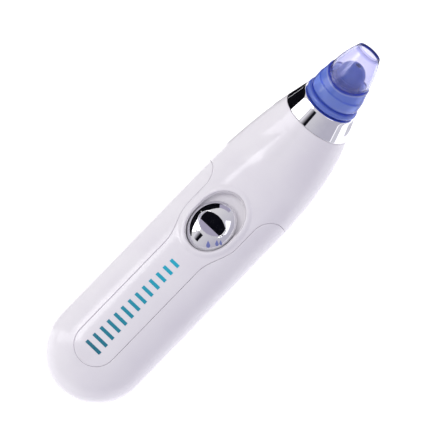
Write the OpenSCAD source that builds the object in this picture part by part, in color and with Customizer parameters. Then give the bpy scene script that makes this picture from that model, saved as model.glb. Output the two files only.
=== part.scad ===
// Battery blackhead vacuum extractor: a slim curved hand piece lying on its back.
// X runs from the tail to the head, +Z is the switch face, millimetres throughout.

/* [Body] */
// widest part of the hand piece, side to side
body_w = 44; // [38:0.5:52]
// height of the switch face above the centre line
front_h = 16.5; // [13:0.5:20]
// depth of the back below the centre line
back_h = 19.6; // [16:0.1:24]
// squareness of the grip's cross-section, 2 is an ellipse
square_n = 2.35; // [2:0.05:3]
// length of the rounded tail
tail_len = 23; // [15:0.5:30]
// distance from the tail at which the grip starts to narrow
taper_start = 105; // [80:1:120]
// radius of the neck where it meets the collar
neck_r = 15.4; // [12:0.1:18]
// wall of the mouldings
wall = 2; // [1.2:0.1:3]
// width cut flat along the back, the surface it lies on
flat_depth = 0.5; // [0.2:0.1:1.5]

/* [Bend] */
// distance from the tail at which the neck starts to bend forward
bend_start = 119; // [90:1:140]
// radius of the neck's bend
bend_r = 49.5; // [30:0.5:90]
// forward lean of the head
head_tilt = 38; // [0:1:50]
// straight neck between the end of the bend and the cup's seat
head_straight = 16.5; // [10:0.5:30]

/* [Seam] */
// distance from the tail to the end of the front tongue
tongue_x = 13.2; // [8:0.1:30]
// half width of the front tongue
tongue_r = 9.2; // [6:0.1:14]
// where the tongue starts to widen round the switch
bulge_start = 73; // [60:1:85]
// length over which it widens
bulge_len = 18; // [8:1:30]
// half width of the tongue beside the switch
bulge_r = 13.9; // [10:0.1:18]
// where the seam starts to flare towards the sides
flare_x = 101; // [90:0.5:108]
// distance from the tail to the cover's upper edge
cover_x = 111.2; // [100:0.1:125]
// gap round the sliding cover
gap = 0.35; // [0.3:0.05:0.6]

/* [Switch] */
// centre of the switch recess from the tail
well_x = 92.9; // [80:0.1:110]
// height of the recess floor above the centre line
floor_z = 12.5; // [10:0.1:14]
// raised lip round the recess
lip_h = 0.6; // [0.2:0.1:1.5]
// half length of the slider
knob_a = 11.5; // [8:0.1:12]
// half width of the slider
knob_b = 9.4; // [6:0.1:10]
// wall of the recess
well_wall = 0.4; // [0.4:0.1:1]
// crown of the slider above the recess floor
knob_h = 6; // [3:0.1:8]
// travel of the slider from off to full power
knob_travel = 4.2; // [2:0.1:8]

/* [Batteries] */
// radius of one AA cell
cell_r = 7.1; // [6.8:0.05:7.25]
// body length of one AA cell without its button
cell_l = 49.2; // [48:0.1:50]
// distance from the tail to the battery tray
tray_x = 18; // [15:0.5:25]
// height of the cell bundle's centre
cells_z = -1.6; // [-4:0.1:2]

/* [Pump] */
// height of the motor and pump axis
pump_z = -4.4; // [-8:0.1:0]
// radius of the motor
motor_r = 10; // [7:0.1:12]
// length of the motor
motor_l = 23.5; // [15:0.5:32]
// distance from the tail to the motor
motor_x = 78.3; // [70:0.1:90]
// radius of the pump body
pump_r = 11.6; // [8:0.1:13]

/* [Head] */
// length of the chrome collar on the head axis
collar_l = 9.5; // [5:0.1:15]
// top radius of the chrome collar
collar_top_r = 12.6; // [10:0.1:14]
// lean of the collar's lower edge against the head axis
collar_skew = 7; // [0:1:15]
// widest radius of the suction cup
cup_r = 12; // [9:0.1:14]
// radius of the cup's shoulder
shoulder_r = 10; // [8:0.1:12]
// distance from the cup's widest ring up to its shoulder
shoulder_w = 13.9; // [9:0.1:15]
// radius of the clear tip where it leaves the shoulder
tip_r = 9.3; // [7:0.1:10]
// distance from the cup's widest ring to its mouth
mouth_w = 28.5; // [20:0.5:35]
// half width of the oval mouth across the head
mouth_a = 5.3; // [3:0.1:7]
// half width of the oval mouth front to back
mouth_b = 3.2; // [2:0.1:6]
// wall of the clear tip
tip_wall = 0.8; // [0.6:0.05:1.5]
// radius of the spigot that the cup pushes onto
spigot_r = 8.2; // [6:0.1:9]

/* [Hidden] */
$fn = 64;
eps = 0.01;
bend_len = bend_r * head_tilt * PI / 180;
neck_end = bend_start + bend_len + head_straight - collar_l - 2.2;
collar_w = -collar_l - 2.2;
cone_slope = (neck_r - collar_top_r) / collar_l;
seat = line_pt(bend_start + bend_len + head_straight);
flat_z = flat_depth - back_h;
mid_x = 93.47;

// ---- centre line and cross-sections of the hand piece ----
function bend_ang(u) = max(0, min(head_tilt, (u - bend_start) / bend_r * 180 / PI));
function line_pt(u) = let(a = bend_ang(u), over = max(0, u - bend_start - bend_len))
  [min(u, bend_start) + bend_r * sin(a) + over * cos(a),
   bend_r * (1 - cos(a)) + over * sin(a)];
function tail_f(u) = u >= tail_len ? 1 : sqrt(max(0, 1 - pow((tail_len - u) / tail_len, 2)));
function smooth(t) = t * t * (3 - 2 * t);
function mixed(a, b, t) = a + (b - a) * t;
function neck_t(u) = (u - taper_start) / (neck_end - taper_start);
// half size at a station: full up to the taper, then a curve that runs into the collar's cone
function half_size(own, u) = let(t = neck_t(u), l = neck_end - taper_start)
  tail_f(u) * (t <= 0 ? own : t >= 1 ? neck_r - cone_slope * (u - neck_end)
  : mixed(own, neck_r, smooth(t)) - cone_slope * l * (t * t * t - t * t));
function half_w(u) = half_size(body_w / 2, u);
function front_d(u) = half_size(front_h, u);
function back_d(u) = half_size(back_h, u);
function squareness(u) = mixed(square_n, 2, smooth(max(0, min(1, neck_t(u)))));
function power_of(v, n) = sign(v) * pow(abs(v), 2 / n);
function skin_pt(u, th, d) = let(
    n = squareness(u),
    a = bend_ang(u),
    p = line_pt(u),
    y = (half_w(u) - d) * power_of(cos(th), n),
    v = ((sin(th) >= 0 ? front_d(u) : back_d(u)) - d) * power_of(sin(th), n))
  [p[0] - v * sin(a), y, p[1] + v * cos(a)];
function front_z(x, y) = front_d(x)
  * pow(1 - pow(min(1, abs(y) / half_w(x)), squareness(x)), 1 / squareness(x));

// stations along the centre line, closer together where the shape turns
function stations(first, last, fine) = concat(
  [for (i = [0:fine]) let(t = mixed(first, 90, i / fine)) tail_len * (1 - cos(t))],
  [50, 78],
  [for (i = [0:fine + 4]) mixed(taper_start, last, i / (fine + 4))]);

// a closed skin through the stations, set in from the outside by d
module skin(d, around, fine, first) {
  us = stations(first, neck_end + 3, fine);
  n = len(us);
  pts = [for (u = us) for (j = [0:around - 1]) skin_pt(u, 360 * j / around, d)];
  sides = [for (i = [0:n - 2]) for (j = [0:around - 1]) let(
      a = i * around + j,
      b = i * around + (j + 1) % around)
    each [[a, a + around, b], [b, a + around, b + around]]];
  caps = [[for (j = [0:around - 1]) j], [for (j = [around - 1:-1:0]) (n - 1) * around + j]];
  polyhedron(points = pts, faces = concat(sides, caps), convexity = 4);
}

module in_head() {
  translate([seat[0], 0, seat[1]]) rotate([0, 90 - head_tilt, 0]) children();
}

module placed() {
  translate([-mid_x, 0, -flat_z]) children();
}

module along_x(x, y, z) {
  translate([x, y, z]) rotate([0, 90, 0]) children();
}

// everything on the neck side of the collar's lower edge
module below_collar(shift) {
  in_head() translate([0, 0, collar_w + shift]) rotate([0, collar_skew, 0])
    translate([-300, -60, -300]) cube([600, 120, 300]);
}

module oval(a, b) {
  scale([a, b]) circle(r = 1);
}

// where the slider rests, and the outline that it sweeps with its clearance and the well's wall
knob_x = well_x - knob_travel / 2;
module recess(grow) {
  g = 0.35 + well_wall + grow;
  for (s = [-1, 1]) translate([well_x + s * knob_travel / 2, 0]) oval(knob_a + g, knob_b + g);
  translate([well_x, 0]) square([knob_travel, 2 * (knob_b + g)], center = true);
}

// ---- the seam of the sliding cover ----
function tongue_half(x) = x > flare_x
  ? body_w / 2 - (body_w / 2 - bulge_r) * sqrt(max(0, 1 - pow((x - flare_x) / (cover_x - flare_x), 2)))
  : mixed(tongue_r, bulge_r, smooth(max(0, min(1, (x - bulge_start) / bulge_len))));

module tongue_outline(grow) {
  r = tongue_r + grow;
  end_pts = [for (i = [0:12]) let(t = 90 - 90 * i / 12)
    [tongue_x + tongue_r - r * sin(t), r * cos(t)]];
  side_pts = [for (i = [0:30]) let(x = mixed(tongue_x + tongue_r, cover_x, i / 30))
    [x - (x > flare_x ? grow : 0), tongue_half(x) + grow]];
  upper = concat(end_pts, side_pts, [[cover_x - grow, 40], [300, 40]]);
  polygon(concat(upper, [for (i = [len(upper) - 1:-1:0]) [upper[i][0], -upper[i][1]]]));
}

// the part of space in front of the parting line between the two upper shells
module front_side(drop) {
  pts = [for (i = [0:24]) let(u = mixed(60, neck_end + 30, i / 24), a = bend_ang(u), p = line_pt(u))
    [p[0] + (2 + drop) * sin(a), p[1] - (2 + drop) * cos(a)]];
  rotate([90, 0, 0]) linear_extrude(120, center = true)
    polygon(concat([[0, -2 - drop]], pts, [[260, 200], [0, 200]]));
}

module hollow_skin() {
  difference() {
    skin(0, 72, 12, 3);
    skin(wall, 48, 9, 24);
    translate([-10, -50, flat_z - 20]) cube([400, 100, 20]);
  }
}

boss_x = 117;
boss_y = 16.2;
tray_boss = [75.6, 5.6];

module boss(x, y, z0, z1, r, bore) {
  translate([x, y, z0]) difference() {
    cylinder(r = r, h = z1 - z0, $fn = 28);
    translate([0, 0, -1]) cylinder(r = bore, h = z1 - z0 + 2, $fn = 24);
  }
}

// ---- mouldings ----
module front_shell() {
  color("white") resize([0, 0, 0]) difference() {
    union() {
      intersection() {
        hollow_skin();
        linear_extrude(40) tongue_outline(0);
        translate([-10, -60, -1]) cube([cover_x + 10, 120, 60]);
      }
      intersection() {
        hollow_skin();
        front_side(0);
        translate([cover_x, -60, -60]) cube([200, 120, 200]);
        below_collar(0);
      }
      intersection() {
        difference() {
          skin(-lip_h, 72, 8, 20);
          skin(wall, 48, 9, 24);
        }
        linear_extrude(60) recess(2.3);
      }
      intersection() {
        union() {
          for (s = [-1, 1]) boss(boss_x, s * boss_y, -1.8, 20, 2.9, 0.9);
          for (s = [-1, 1]) boss(tray_boss[0], s * tray_boss[1], 9.4, 18, 2.4, 0.8);
        }
        skin(0.6, 48, 9, 24);
      }
    }
    translate([0, 0, 4]) linear_extrude(60) recess(0);
  }
}

module rear_shell() {
  color("white") resize([0, 0, 0]) difference() {
    union() {
      intersection() {
        difference() {
          hollow_skin();
          front_side(0.08);
        }
        translate([cover_x, -60, -60]) cube([200, 120, 200]);
        below_collar(0);
      }
      intersection() {
        for (s = [-1, 1]) translate([boss_x, s * boss_y, -19]) cylinder(r = 2.9, h = 16.6, $fn = 28);
        skin(0.6, 48, 9, 24);
      }
    }
    for (s = [-1, 1]) translate([boss_x, s * boss_y, 0]) {
      translate([0, 0, -30]) cylinder(r = 2.1, h = 20.3, $fn = 28);
      translate([0, 0, -30]) cylinder(r = 1.2, h = 40, $fn = 24);
    }
    for (i = [-1:1]) translate([123 + 3.2 * i, 0, -30]) linear_extrude(25) square([1.2, 10], center = true);
  }
}

module battery_cover() {
  color("white") resize([0, 0, 0]) difference() {
    hollow_skin();
    linear_extrude(90) tongue_outline(gap);
    translate([cover_x - gap, -60, -60]) cube([200, 120, 200]);
    for (i = [0:4]) translate([88 + 3 * i, 0, flat_z - 0.5]) rotate([90, 0, 0])
      cylinder(r = 0.9, h = 9, center = true, $fn = 20);
  }
}

// ---- batteries ----
cell_pitch = 7.3;
plate_t = 0.4;
bay_x = tray_x + 1.6 + plate_t;
bay_l = cell_l + 1.3 + 2;

module end_wall(x, t, r) {
  along_x(x, 0, cells_z) linear_extrude(t) intersection() {
    square([28.8, 28.8], center = true);
    circle(r = r);
  }
}

module battery_tray() {
  color("dimgray") {
    end_wall(tray_x, 1.6, 16.5);
    difference() {
      end_wall(bay_x + bay_l + plate_t, 3.6, 17.2);
      for (s = [-1, 1]) translate([tray_boss[0], s * tray_boss[1], 0]) cylinder(r = 2.7, h = 40);
    }
    along_x(tray_x + 1, 0, cells_z) cylinder(r = 2.6, h = bay_l + 3);
    for (k = [0:3]) translate([0, 0, cells_z]) rotate([90 * k, 0, 0])
      translate([tray_x + 1, -1, 12.3]) cube([bay_l + 3, 2, 2]);
  }
}

module cell() {
  cylinder(r = cell_r, h = cell_l);
  translate([0, 0, cell_l - eps]) cylinder(r = 2.7, h = 1.3 + eps);
}

module at_cells(flip) {
  for (sy = [-1, 1]) for (sz = [-1, 1])
    if (sy * sz == flip) translate([0, sy * cell_pitch, cells_z + sz * cell_pitch]) children();
}

module aa_cells() {
  color("#2b5f8c") {
    at_cells(1) along_x(bay_x + 2, 0, 0) cell();
    at_cells(-1) translate([bay_x + bay_l - 2, 0, 0]) rotate([0, -90, 0]) cell();
  }
}

module battery_springs() {
  color("silver") {
    at_cells(1) along_x(bay_x, 0, 0) spiral_spring();
    at_cells(-1) translate([bay_x + bay_l, 0, 0]) rotate([0, -90, 0]) spiral_spring();
  }
}

module spiral_spring() {
  rotate_extrude() polygon([[4.6, 0], [5.2, 0], [4.9, 0.7], [4.5, 0.9], [4, 1.5], [3.4, 1.9],
    [2.8, 1.9], [3.2, 1.3], [3.9, 0.9], [4.2, 0.4]]);
}

module contact_plates() {
  color("gold") {
    for (s = [-1, 1]) translate([bay_x - plate_t + 0.02, s * cell_pitch - 4.4, cells_z - 11])
      cube([plate_t - 0.04, 8.8, 22]);
    translate([bay_x + bay_l + 0.02, -11.6, cells_z + cell_pitch - 4.4]) cube([plate_t - 0.04, 23.2, 8.8]);
    for (s = [-1, 1]) translate([bay_x + bay_l + 0.02, s * cell_pitch - 4.4, cells_z - cell_pitch - 4.4])
      cube([plate_t - 0.04, 8.8, 8.8]);
  }
}

module screw(r, l, head_r, head_h) {
  difference() {
    union() {
      cylinder(r = r, h = l);
      translate([0, 0, -head_h]) cylinder(r = head_r, h = head_h + eps);
    }
    for (k = [0:1]) rotate([0, 0, 90 * k]) translate([-head_r * 0.65, -0.25, -head_h - 1])
      cube([head_r * 1.3, 0.5, 1.6]);
  }
}

module tray_screws() {
  color("silver") for (s = [-1, 1]) translate([tray_boss[0], s * tray_boss[1], 8]) screw(0.78, 5.5, 1.7, 1.1);
}

module housing_screws() {
  color("silver") for (s = [-1, 1]) translate([boss_x, s * boss_y, -9.75]) screw(0.88, 12, 1.9, 1.4);
}

// ---- switch ----
module switch_well() {
  color("white") difference() {
    translate([0, 0, floor_z - 1]) linear_extrude(3.6) recess(-0.05);
    translate([0, 0, floor_z]) linear_extrude(5) recess(-well_wall);
    translate([well_x - 8, -2.3, floor_z - 3]) cube([15, 4.6, 6]);
  }
}

// the scoop's crease and the slopes of its two faces
scoop_x = -1.2;
scoop_z = 3.4;
scoop_front = 0.34;
scoop_back = 0.62;

// domed slider with a finger scoop cut as two slopes that meet in a crease
module switch_knob() {
  color("gainsboro") translate([knob_x, 0, floor_z + 0.3]) difference() {
    union() {
      linear_extrude(1.2) oval(knob_a, knob_b);
      intersection() {
        translate([0, 0, 1]) scale([knob_a, knob_b, knob_h - 1]) sphere(r = 1);
        translate([-20, -20, 0.9]) cube([40, 40, 20]);
      }
    }
    intersection() {
      translate([0.6, 0, 0]) linear_extrude(20) oval(5.4, 6.5);
      translate([scoop_x, 0, 0]) rotate([90, 0, 0]) linear_extrude(20, center = true)
        polygon([[0, scoop_z], [9, scoop_z + 9 * scoop_front], [9, 20], [-9, 20], [-9, scoop_z + 9 * scoop_back]]);
    }
    translate([-1.5, -1.3, -1]) cube([3, 2.6, 2.5]);
  }
}

module knob_carrier() {
  color("dimgray") translate([knob_x, 0, 0]) {
    translate([-1.4, -1.2, floor_z - 1.9]) cube([2.8, 2.4, 3.5]);
    translate([-3, -1.9, floor_z - 2.3]) cube([6, 3.8, 0.9]);
  }
}

module drop_shape(r) {
  hull() {
    circle(r = r, $fn = 24);
    translate([r * 1.4, r * 1.4]) circle(r = 0.12, $fn = 12);
  }
}

module drop_marks() {
  color("#8a93c8") translate([knob_x, 0, floor_z + 0.3]) intersection() {
    difference() {
      translate([0, 0, 1]) scale([knob_a + 0.06, knob_b + 0.06, knob_h - 0.94]) sphere(r = 1);
      translate([0, 0, 1]) scale([knob_a, knob_b, knob_h - 1]) sphere(r = 1);
    }
    translate([0, 0, 1.5]) linear_extrude(10) {
      translate([-7.2, -4.9]) drop_shape(0.85);
      translate([-4.3, -7.1]) drop_shape(0.7);
      translate([-3, -8]) drop_shape(0.55);
    }
  }
}

module circuit_board() {
  color("darkgreen") translate([81, -8.5, 5.9]) cube([20.4, 17, 1.2]);
}

module slide_switch() {
  color("silver") difference() {
    translate([85.5, -3, 7.15]) cube([13.5, 6, 2.75]);
    translate([knob_x - 3.5, -1.2, 9]) cube([12.5 - 2.5, 2.4, 2]);
  }
}

// ---- motor and pump ----
pump_x = motor_x + motor_l + 0.2;

module motor_body(r, flat, h) {
  intersection() {
    cylinder(r = r, h = h);
    translate([-flat, -20, -1]) cube([2 * flat, 40, h + 2]);
  }
}

module motor_can() {
  color("silver") along_x(motor_x, 0, pump_z) difference() {
    motor_body(motor_r, 8, motor_l);
    translate([0, 0, -1]) motor_body(motor_r - 1, 7, motor_l - 0.2);
    cylinder(r = 1.4, h = motor_l + 2);
  }
}

module motor_end_cap() {
  color("white") along_x(motor_x, 0, pump_z) difference() {
    union() {
      translate([0, 0, -1.2]) motor_body(motor_r, 8, 1.2);
      translate([0, 0, -0.5]) motor_body(motor_r - 1.05, 6.95, 2.3);
    }
    translate([0, 0, -3]) cylinder(r = 1.4, h = 8);
  }
}

module motor_magnets() {
  color("#3a3a40") along_x(motor_x + 4, 0, pump_z) intersection() {
    tube(motor_r - 1.05, motor_r - 2.6, 14);
    translate([-4.6, -20, -1]) cube([9.2, 40, 20]);
  }
}

module motor_armature() {
  color("#b8733a") along_x(motor_x + 4.5, 0, pump_z) difference() {
    cylinder(r = 6.6, h = 13);
    translate([0, 0, -1]) cylinder(r = 1, h = 20);
    for (k = [0:2]) rotate([0, 0, 120 * k]) translate([2.6, -0.9, -1]) cube([6, 1.8, 20]);
  }
}

module motor_shaft() {
  color("silver") along_x(motor_x - 1.8, 0, pump_z) cylinder(r = 1, h = motor_l + 8.4);
}

module eccentric_hub() {
  color("ivory") along_x(pump_x + 3.2, 0, pump_z) difference() {
    translate([0.8, 0, 0]) cylinder(r = 3.4, h = 3.4);
    translate([0, 0, -1]) cylinder(r = 1.02, h = 8);
  }
}

module pump_bores(r) {
  for (k = [0:3]) rotate([0, 0, 45 + 90 * k]) translate([pump_r - 1.7, 0, -5]) cylinder(r = r, h = 60, $fn = 32);
}

module rocker() {
  color("white") along_x(pump_x + 3.4, 0, pump_z) {
    difference() {
      cylinder(r = 6.2, h = 3);
      translate([0, 0, -1]) cylinder(r = 4.7, h = 6);
    }
    for (k = [0:2]) rotate([0, 0, 120 * k]) translate([6.6, 0, 0]) cylinder(r = 1.3, h = 4.6);
  }
}

module pump_housing() {
  color("#333333") along_x(pump_x, 0, pump_z) difference() {
    cylinder(r = pump_r, h = 8.4);
    translate([0, 0, 1.6]) cylinder(r = 8.1, h = 20);
    translate([0, 0, -1]) cylinder(r = 1.5, h = 4);
    pump_bores(1.05);
  }
}

module diaphragm() {
  color("#4a4a4a") along_x(pump_x + 8.45, 0, pump_z) difference() {
    cylinder(r = pump_r - 0.2, h = 1.4);
    for (k = [0:2]) rotate([0, 0, 120 * k]) translate([5, 0, 0.7]) cylinder(r = 2.6, h = 3);
    pump_bores(1.05);
  }
}

module valve_plate() {
  color("white") along_x(pump_x + 9.9, 0, pump_z) difference() {
    cylinder(r = pump_r - 0.2, h = 2.4);
    for (k = [0:2]) rotate([0, 0, 120 * k]) for (r = [3.4, 6.2]) translate([r, 0, -1]) cylinder(r = 0.5, h = 5, $fn = 24);
    pump_bores(1.05);
  }
}

module pump_cap() {
  color("#333333") along_x(pump_x + 12.35, 0, pump_z) difference() {
    union() {
      cylinder(r = pump_r, h = 4.4);
      translate([pump_z, 0, 4]) cylinder(r = 2, h = 5.4);
      translate([4.6, 4, 4]) cylinder(r = 1.6, h = 3.4);
    }
    translate([pump_z, 0, 1.6]) cylinder(r = 1.1, h = 10);
    translate([4.6, 4, 1.6]) cylinder(r = 0.9, h = 10);
    translate([0, 0, -1]) cylinder(r = 6.8, h = 2.6 + 1);
    pump_bores(1.05);
  }
}

module pump_screws() {
  color("silver") for (k = [0:3]) along_x(pump_x + 16.8, 0, pump_z) rotate([0, 0, 45 + 90 * k])
    translate([pump_r - 1.7, 0, 0]) rotate([180, 0, 0]) screw(0.98, 15.4, 1.6, 1.1);
}

// frame that carries the motor, the pump and the circuit board
module pump_cradle() {
  color("dimgray") {
    for (x = [motor_x + 3, motor_x + 17]) difference() {
      along_x(x, 0, pump_z) intersection() {
        cylinder(r = 12.3, h = 2.4);
        translate([-10.2, -20, -1]) cube([22.2, 40, 10]);
      }
      along_x(x - 1, 0, pump_z) intersection() {
        cylinder(r = motor_r + 0.1, h = 5);
        translate([-8.1, -20, -1]) cube([16.2, 40, 10]);
      }
    }
    for (s = [-1, 1]) {
      translate([bay_x + bay_l + plate_t + 3.7, s * 11.3 - 0.9, pump_z - 3])
        cube([motor_x + 19.4 - bay_x - bay_l - plate_t - 3.7, 1.8, 5]);
      translate([81.5, s * 11.3 - 0.9, pump_z + 1]) cube([20, 1.8, 9.2]);
      translate([81.5, s * 9.05 - 3.05, 4.9]) cube([20, 6.1, 0.95]);
    }
  }
}

// ---- air path and head ----
hose_corner = bend_start + bend_r * tan(head_tilt / 2);
hose_reach = (seat[0] - hose_corner) / cos(head_tilt) - 14.4;

module hose_path(r, over) {
  along_x(pump_x + 17.6 - over, 0, 0) cylinder(r = r, h = hose_corner - pump_x - 17.6 + over);
  translate([hose_corner, 0, 0]) sphere(r = r + 0.05);
  translate([hose_corner, 0, 0]) rotate([0, 90 - head_tilt, 0]) cylinder(r = r, h = hose_reach + over);
}

module air_hose() {
  color("#dfe8f0") difference() {
    hose_path(2.9, 0);
    hose_path(2.05, 1);
  }
}

module tube(ro, ri, h) {
  difference() {
    cylinder(r = ro, h = h);
    translate([0, 0, -1]) cylinder(r = ri, h = h + 2);
  }
}

module neck_ring() {
  color("white") in_head() translate([0, 0, collar_w - 4.4]) {
    tube(12.7, 11.4, 7.6);
    for (k = [0:3]) rotate([0, 0, 45 + 90 * k]) translate([10.4, -0.7, 0]) cube([1.6, 1.4, 7.6]);
  }
}

module chrome_collar() {
  color("gainsboro") difference() {
    in_head() difference() {
      rotate_extrude() polygon([
        [neck_r + cone_slope * 3, collar_w - 3],
        [collar_top_r - 0.24, -1.7],
        [collar_top_r - 0.54, -1.4],
        [spigot_r + 0.4, -1.4],
        [spigot_r + 0.4, -3.6],
        [collar_top_r - 1.4, -3.6],
        [neck_r - 1.4 + cone_slope * 3, collar_w - 3]]);
    }
    below_collar(0.08);
  }
}

module nozzle_base() {
  color("#e8ecf4") in_head() difference() {
    union() {
      cylinder(r = spigot_r, h = 8.5);
      translate([0, 0, -6]) cylinder(r = spigot_r, h = 6 + eps);
      translate([0, 0, -5.4]) cylinder(r = 10.9, h = 1.7);
      translate([0, 0, -8]) cylinder(r1 = 4, r2 = spigot_r, h = 2 + eps);
      translate([0, 0, -19.5]) cylinder(r = 2, h = 12);
    }
    translate([0, 0, -3.6]) cylinder(r = 6.3, h = 20);
    translate([0, 0, -25]) cylinder(r = 1.2, h = 30);
    translate([0, 0, 4.6]) rotate_extrude() translate([7.95, 0]) circle(r = 0.82);
  }
}

module o_ring() {
  color("#222222") in_head() translate([0, 0, 4.6]) rotate_extrude() translate([7.95, 0]) circle(r = 0.78);
}

module filter_sponge() {
  color("#f4f4ee") in_head() translate([0, 0, -3.5]) cylinder(r = 6.2, h = 9.5);
}

module inner_dome() {
  color("#4f6fd8") in_head() difference() {
    union() {
      translate([0, 0, 8.55]) cylinder(r = spigot_r, h = 1.4);
      translate([0, 0, 9.9]) cylinder(r = 7.2, h = 1.4);
      translate([0, 0, 11.2]) cylinder(r = 6.2, h = 3.2);
      translate([0, 0, 14.4]) sphere(r = 6.2);
    }
    translate([0, 0, 14.4]) sphere(r = 5.2);
    translate([0, 0, 6]) cylinder(r = 5.2, h = 8.4);
    translate([0, 0, 14]) cylinder(r = 1.2, h = 10, $fn = 32);
  }
}

// push-on cup: round flange, stepped band, shoulder and a clear tip that flattens to an oval mouth
module suction_cup() {
  color("#5f7fe8", 0.6) in_head() difference() {
    union() {
      rotate_extrude() polygon(concat(
        [[0, -1.1], [cup_r - 1.3, -1.1]],
        [for (i = [0:8]) [cup_r - 1.3 + 1.3 * sin(90 * i / 8), 0.5 - 1.6 * cos(90 * i / 8)]],
        [[cup_r - 0.1, 2.4], [cup_r - 0.5, 3.1], [cup_r - 0.8, 7.6], [cup_r - 1.05, 7.8],
         [shoulder_r + 0.2, shoulder_w - 0.5], [shoulder_r - 0.3, shoulder_w], [0, shoulder_w]]));
      tip_form(0, shoulder_w - 1, mouth_w);
    }
    translate([0, 0, -5]) cylinder(r = spigot_r + 0.85, h = 15.6);
    tip_form(-tip_wall, 10.5, mouth_w + 0.8);
  }
}

// the tip: round at the shoulder, flattening to the oval mouth
module tip_form(grow, base_w, top_w) {
  hull() {
    tip_ring(base_w, tip_r + grow, tip_r + grow);
    tip_ring(shoulder_w + 0.2, tip_r + grow, tip_r + grow);
    tip_ring(shoulder_w + 5.2, tip_r - 1.5 + grow, tip_r - 0.95 + grow);
    tip_ring(shoulder_w + 10.8, tip_r - 4.1 + grow, tip_r - 2.35 + grow);
    tip_ring(top_w - 0.1, mouth_b + grow, mouth_a + grow);
  }
}

module tip_ring(w, a, b) {
  translate([0, 0, w]) linear_extrude(0.1) scale([a, b]) circle(r = 1, $fn = 40);
}

// ---- wiring and printed decoration ----
module wire(y, z, x0, x1, drop) {
  along_x(x0, y, z) cylinder(r = 0.6, h = x1 - x0);
  translate([x1, y, z]) sphere(r = 0.6);
  translate([x1, y, z - drop]) cylinder(r = 0.6, h = drop);
}

module lead_wires() {
  color("firebrick") {
    for (s = [-1, 1]) wire(s * 6.6, 5.1, bay_x + bay_l + plate_t + 3.8, motor_x + 1.2, 0.4);
  }
}

module panel_print() {
  color("#1f8fb5") for (i = [0:12]) let(x = 20 + 4 * i, w = 3.9 - 0.14 * i)
    translate([x, -w, front_z(x + 1.5, 0) + 0.03]) cube([1.5, 2 * w, 0.12]);
}

placed() front_shell();
placed() rear_shell();
placed() battery_cover();
placed() battery_tray();
placed() aa_cells();
placed() battery_springs();
placed() contact_plates();
placed() switch_well();
placed() switch_knob();
placed() knob_carrier();
placed() slide_switch();
placed() circuit_board();
placed() motor_can();
placed() motor_end_cap();
placed() motor_magnets();
placed() motor_armature();
placed() motor_shaft();
placed() eccentric_hub();
placed() rocker();
placed() pump_housing();
placed() diaphragm();
placed() valve_plate();
placed() pump_cap();
placed() pump_screws();
placed() pump_cradle();
placed() air_hose();
placed() neck_ring();
placed() chrome_collar();
placed() nozzle_base();
placed() o_ring();
placed() filter_sponge();
placed() inner_dome();
placed() suction_cup();
placed() housing_screws();
placed() tray_screws();
placed() lead_wires();
placed() panel_print();
placed() drop_marks();
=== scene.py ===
"""Looks of a handheld blackhead vacuum extractor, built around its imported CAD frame.

Shapes are worked out in millimetres in the hand piece's own coordinates (tail at x = 0,
centre line at z = 0) and placed into the frame in metres by placed().
"""

import math

import bmesh
import bpy
import numpy as np
from mathutils import Matrix, Vector


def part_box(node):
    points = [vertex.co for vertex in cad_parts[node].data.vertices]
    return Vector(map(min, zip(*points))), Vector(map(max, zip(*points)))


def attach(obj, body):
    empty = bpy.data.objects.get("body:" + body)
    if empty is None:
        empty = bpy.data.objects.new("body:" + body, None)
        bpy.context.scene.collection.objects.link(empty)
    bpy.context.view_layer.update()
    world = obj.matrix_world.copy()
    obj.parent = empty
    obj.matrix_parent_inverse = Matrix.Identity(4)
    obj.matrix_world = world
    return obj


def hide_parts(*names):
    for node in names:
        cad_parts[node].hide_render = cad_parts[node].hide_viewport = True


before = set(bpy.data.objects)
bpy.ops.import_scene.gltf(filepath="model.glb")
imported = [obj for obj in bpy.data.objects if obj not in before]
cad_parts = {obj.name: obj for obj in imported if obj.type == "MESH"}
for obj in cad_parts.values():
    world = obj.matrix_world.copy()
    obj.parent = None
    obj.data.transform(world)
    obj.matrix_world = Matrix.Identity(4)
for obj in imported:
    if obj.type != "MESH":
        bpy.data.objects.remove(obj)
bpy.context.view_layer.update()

MM = 0.001

# ---------------------------------------------------------------- sizes, as in the CAD source
BODY_W, FRONT_H, BACK_H = 44.0, 16.5, 19.6
SQUARE = 2.35
TAIL_LEN = 23.0
TAPER_START = 105.0
NECK_R = 15.4
WALL = 2.0
FLAT_Z = 0.5 - BACK_H
BEND_START, BEND_R, HEAD_TILT = 119.0, 49.5, math.radians(38.0)
HEAD_STRAIGHT = 16.5
TONGUE_X, TONGUE_R = 13.2, 9.2
BULGE_START, BULGE_LEN, BULGE_R = 73.0, 18.0, 13.9
FLARE_X, COVER_X = 101.0, 111.2
WELL_X, FLOOR_Z, WELL_WALL, LIP_H = 92.9, 12.5, 0.4, 0.6
KNOB_A, KNOB_B, KNOB_H, KNOB_TRAVEL, KNOB_FIT = 11.5, 9.4, 6.0, 4.2, 0.35
KNOB_X = WELL_X - KNOB_TRAVEL / 2
KNOB_Z = FLOOR_Z + 0.3
WELL_A, WELL_B = KNOB_A + KNOB_FIT + WELL_WALL, KNOB_B + KNOB_FIT + WELL_WALL
SCOOP_X, SCOOP_Z, SCOOP_FRONT, SCOOP_BACK = -1.2, 3.4, 0.34, 0.62
COLLAR_L, COLLAR_TOP_R, COLLAR_SKEW = 9.5, 12.6, math.radians(7.0)
COLLAR_BASE, COLLAR_TOP_W = 2.2, -1.4
COLLAR_W = -COLLAR_L - COLLAR_BASE
CONE_SLOPE = (NECK_R - COLLAR_TOP_R) / COLLAR_L
CUP_R, SHOULDER_R, SHOULDER_W, TIP_R = 12.0, 10.0, 13.9, 9.3
MOUTH_W, MOUTH_A, MOUTH_B, TIP_WALL = 28.5, 5.3, 3.2, 0.8
SHOULDER_DIP, FLANGE_W, FLANGE_ROUND = 2.6, -1.1, 1.5
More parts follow.
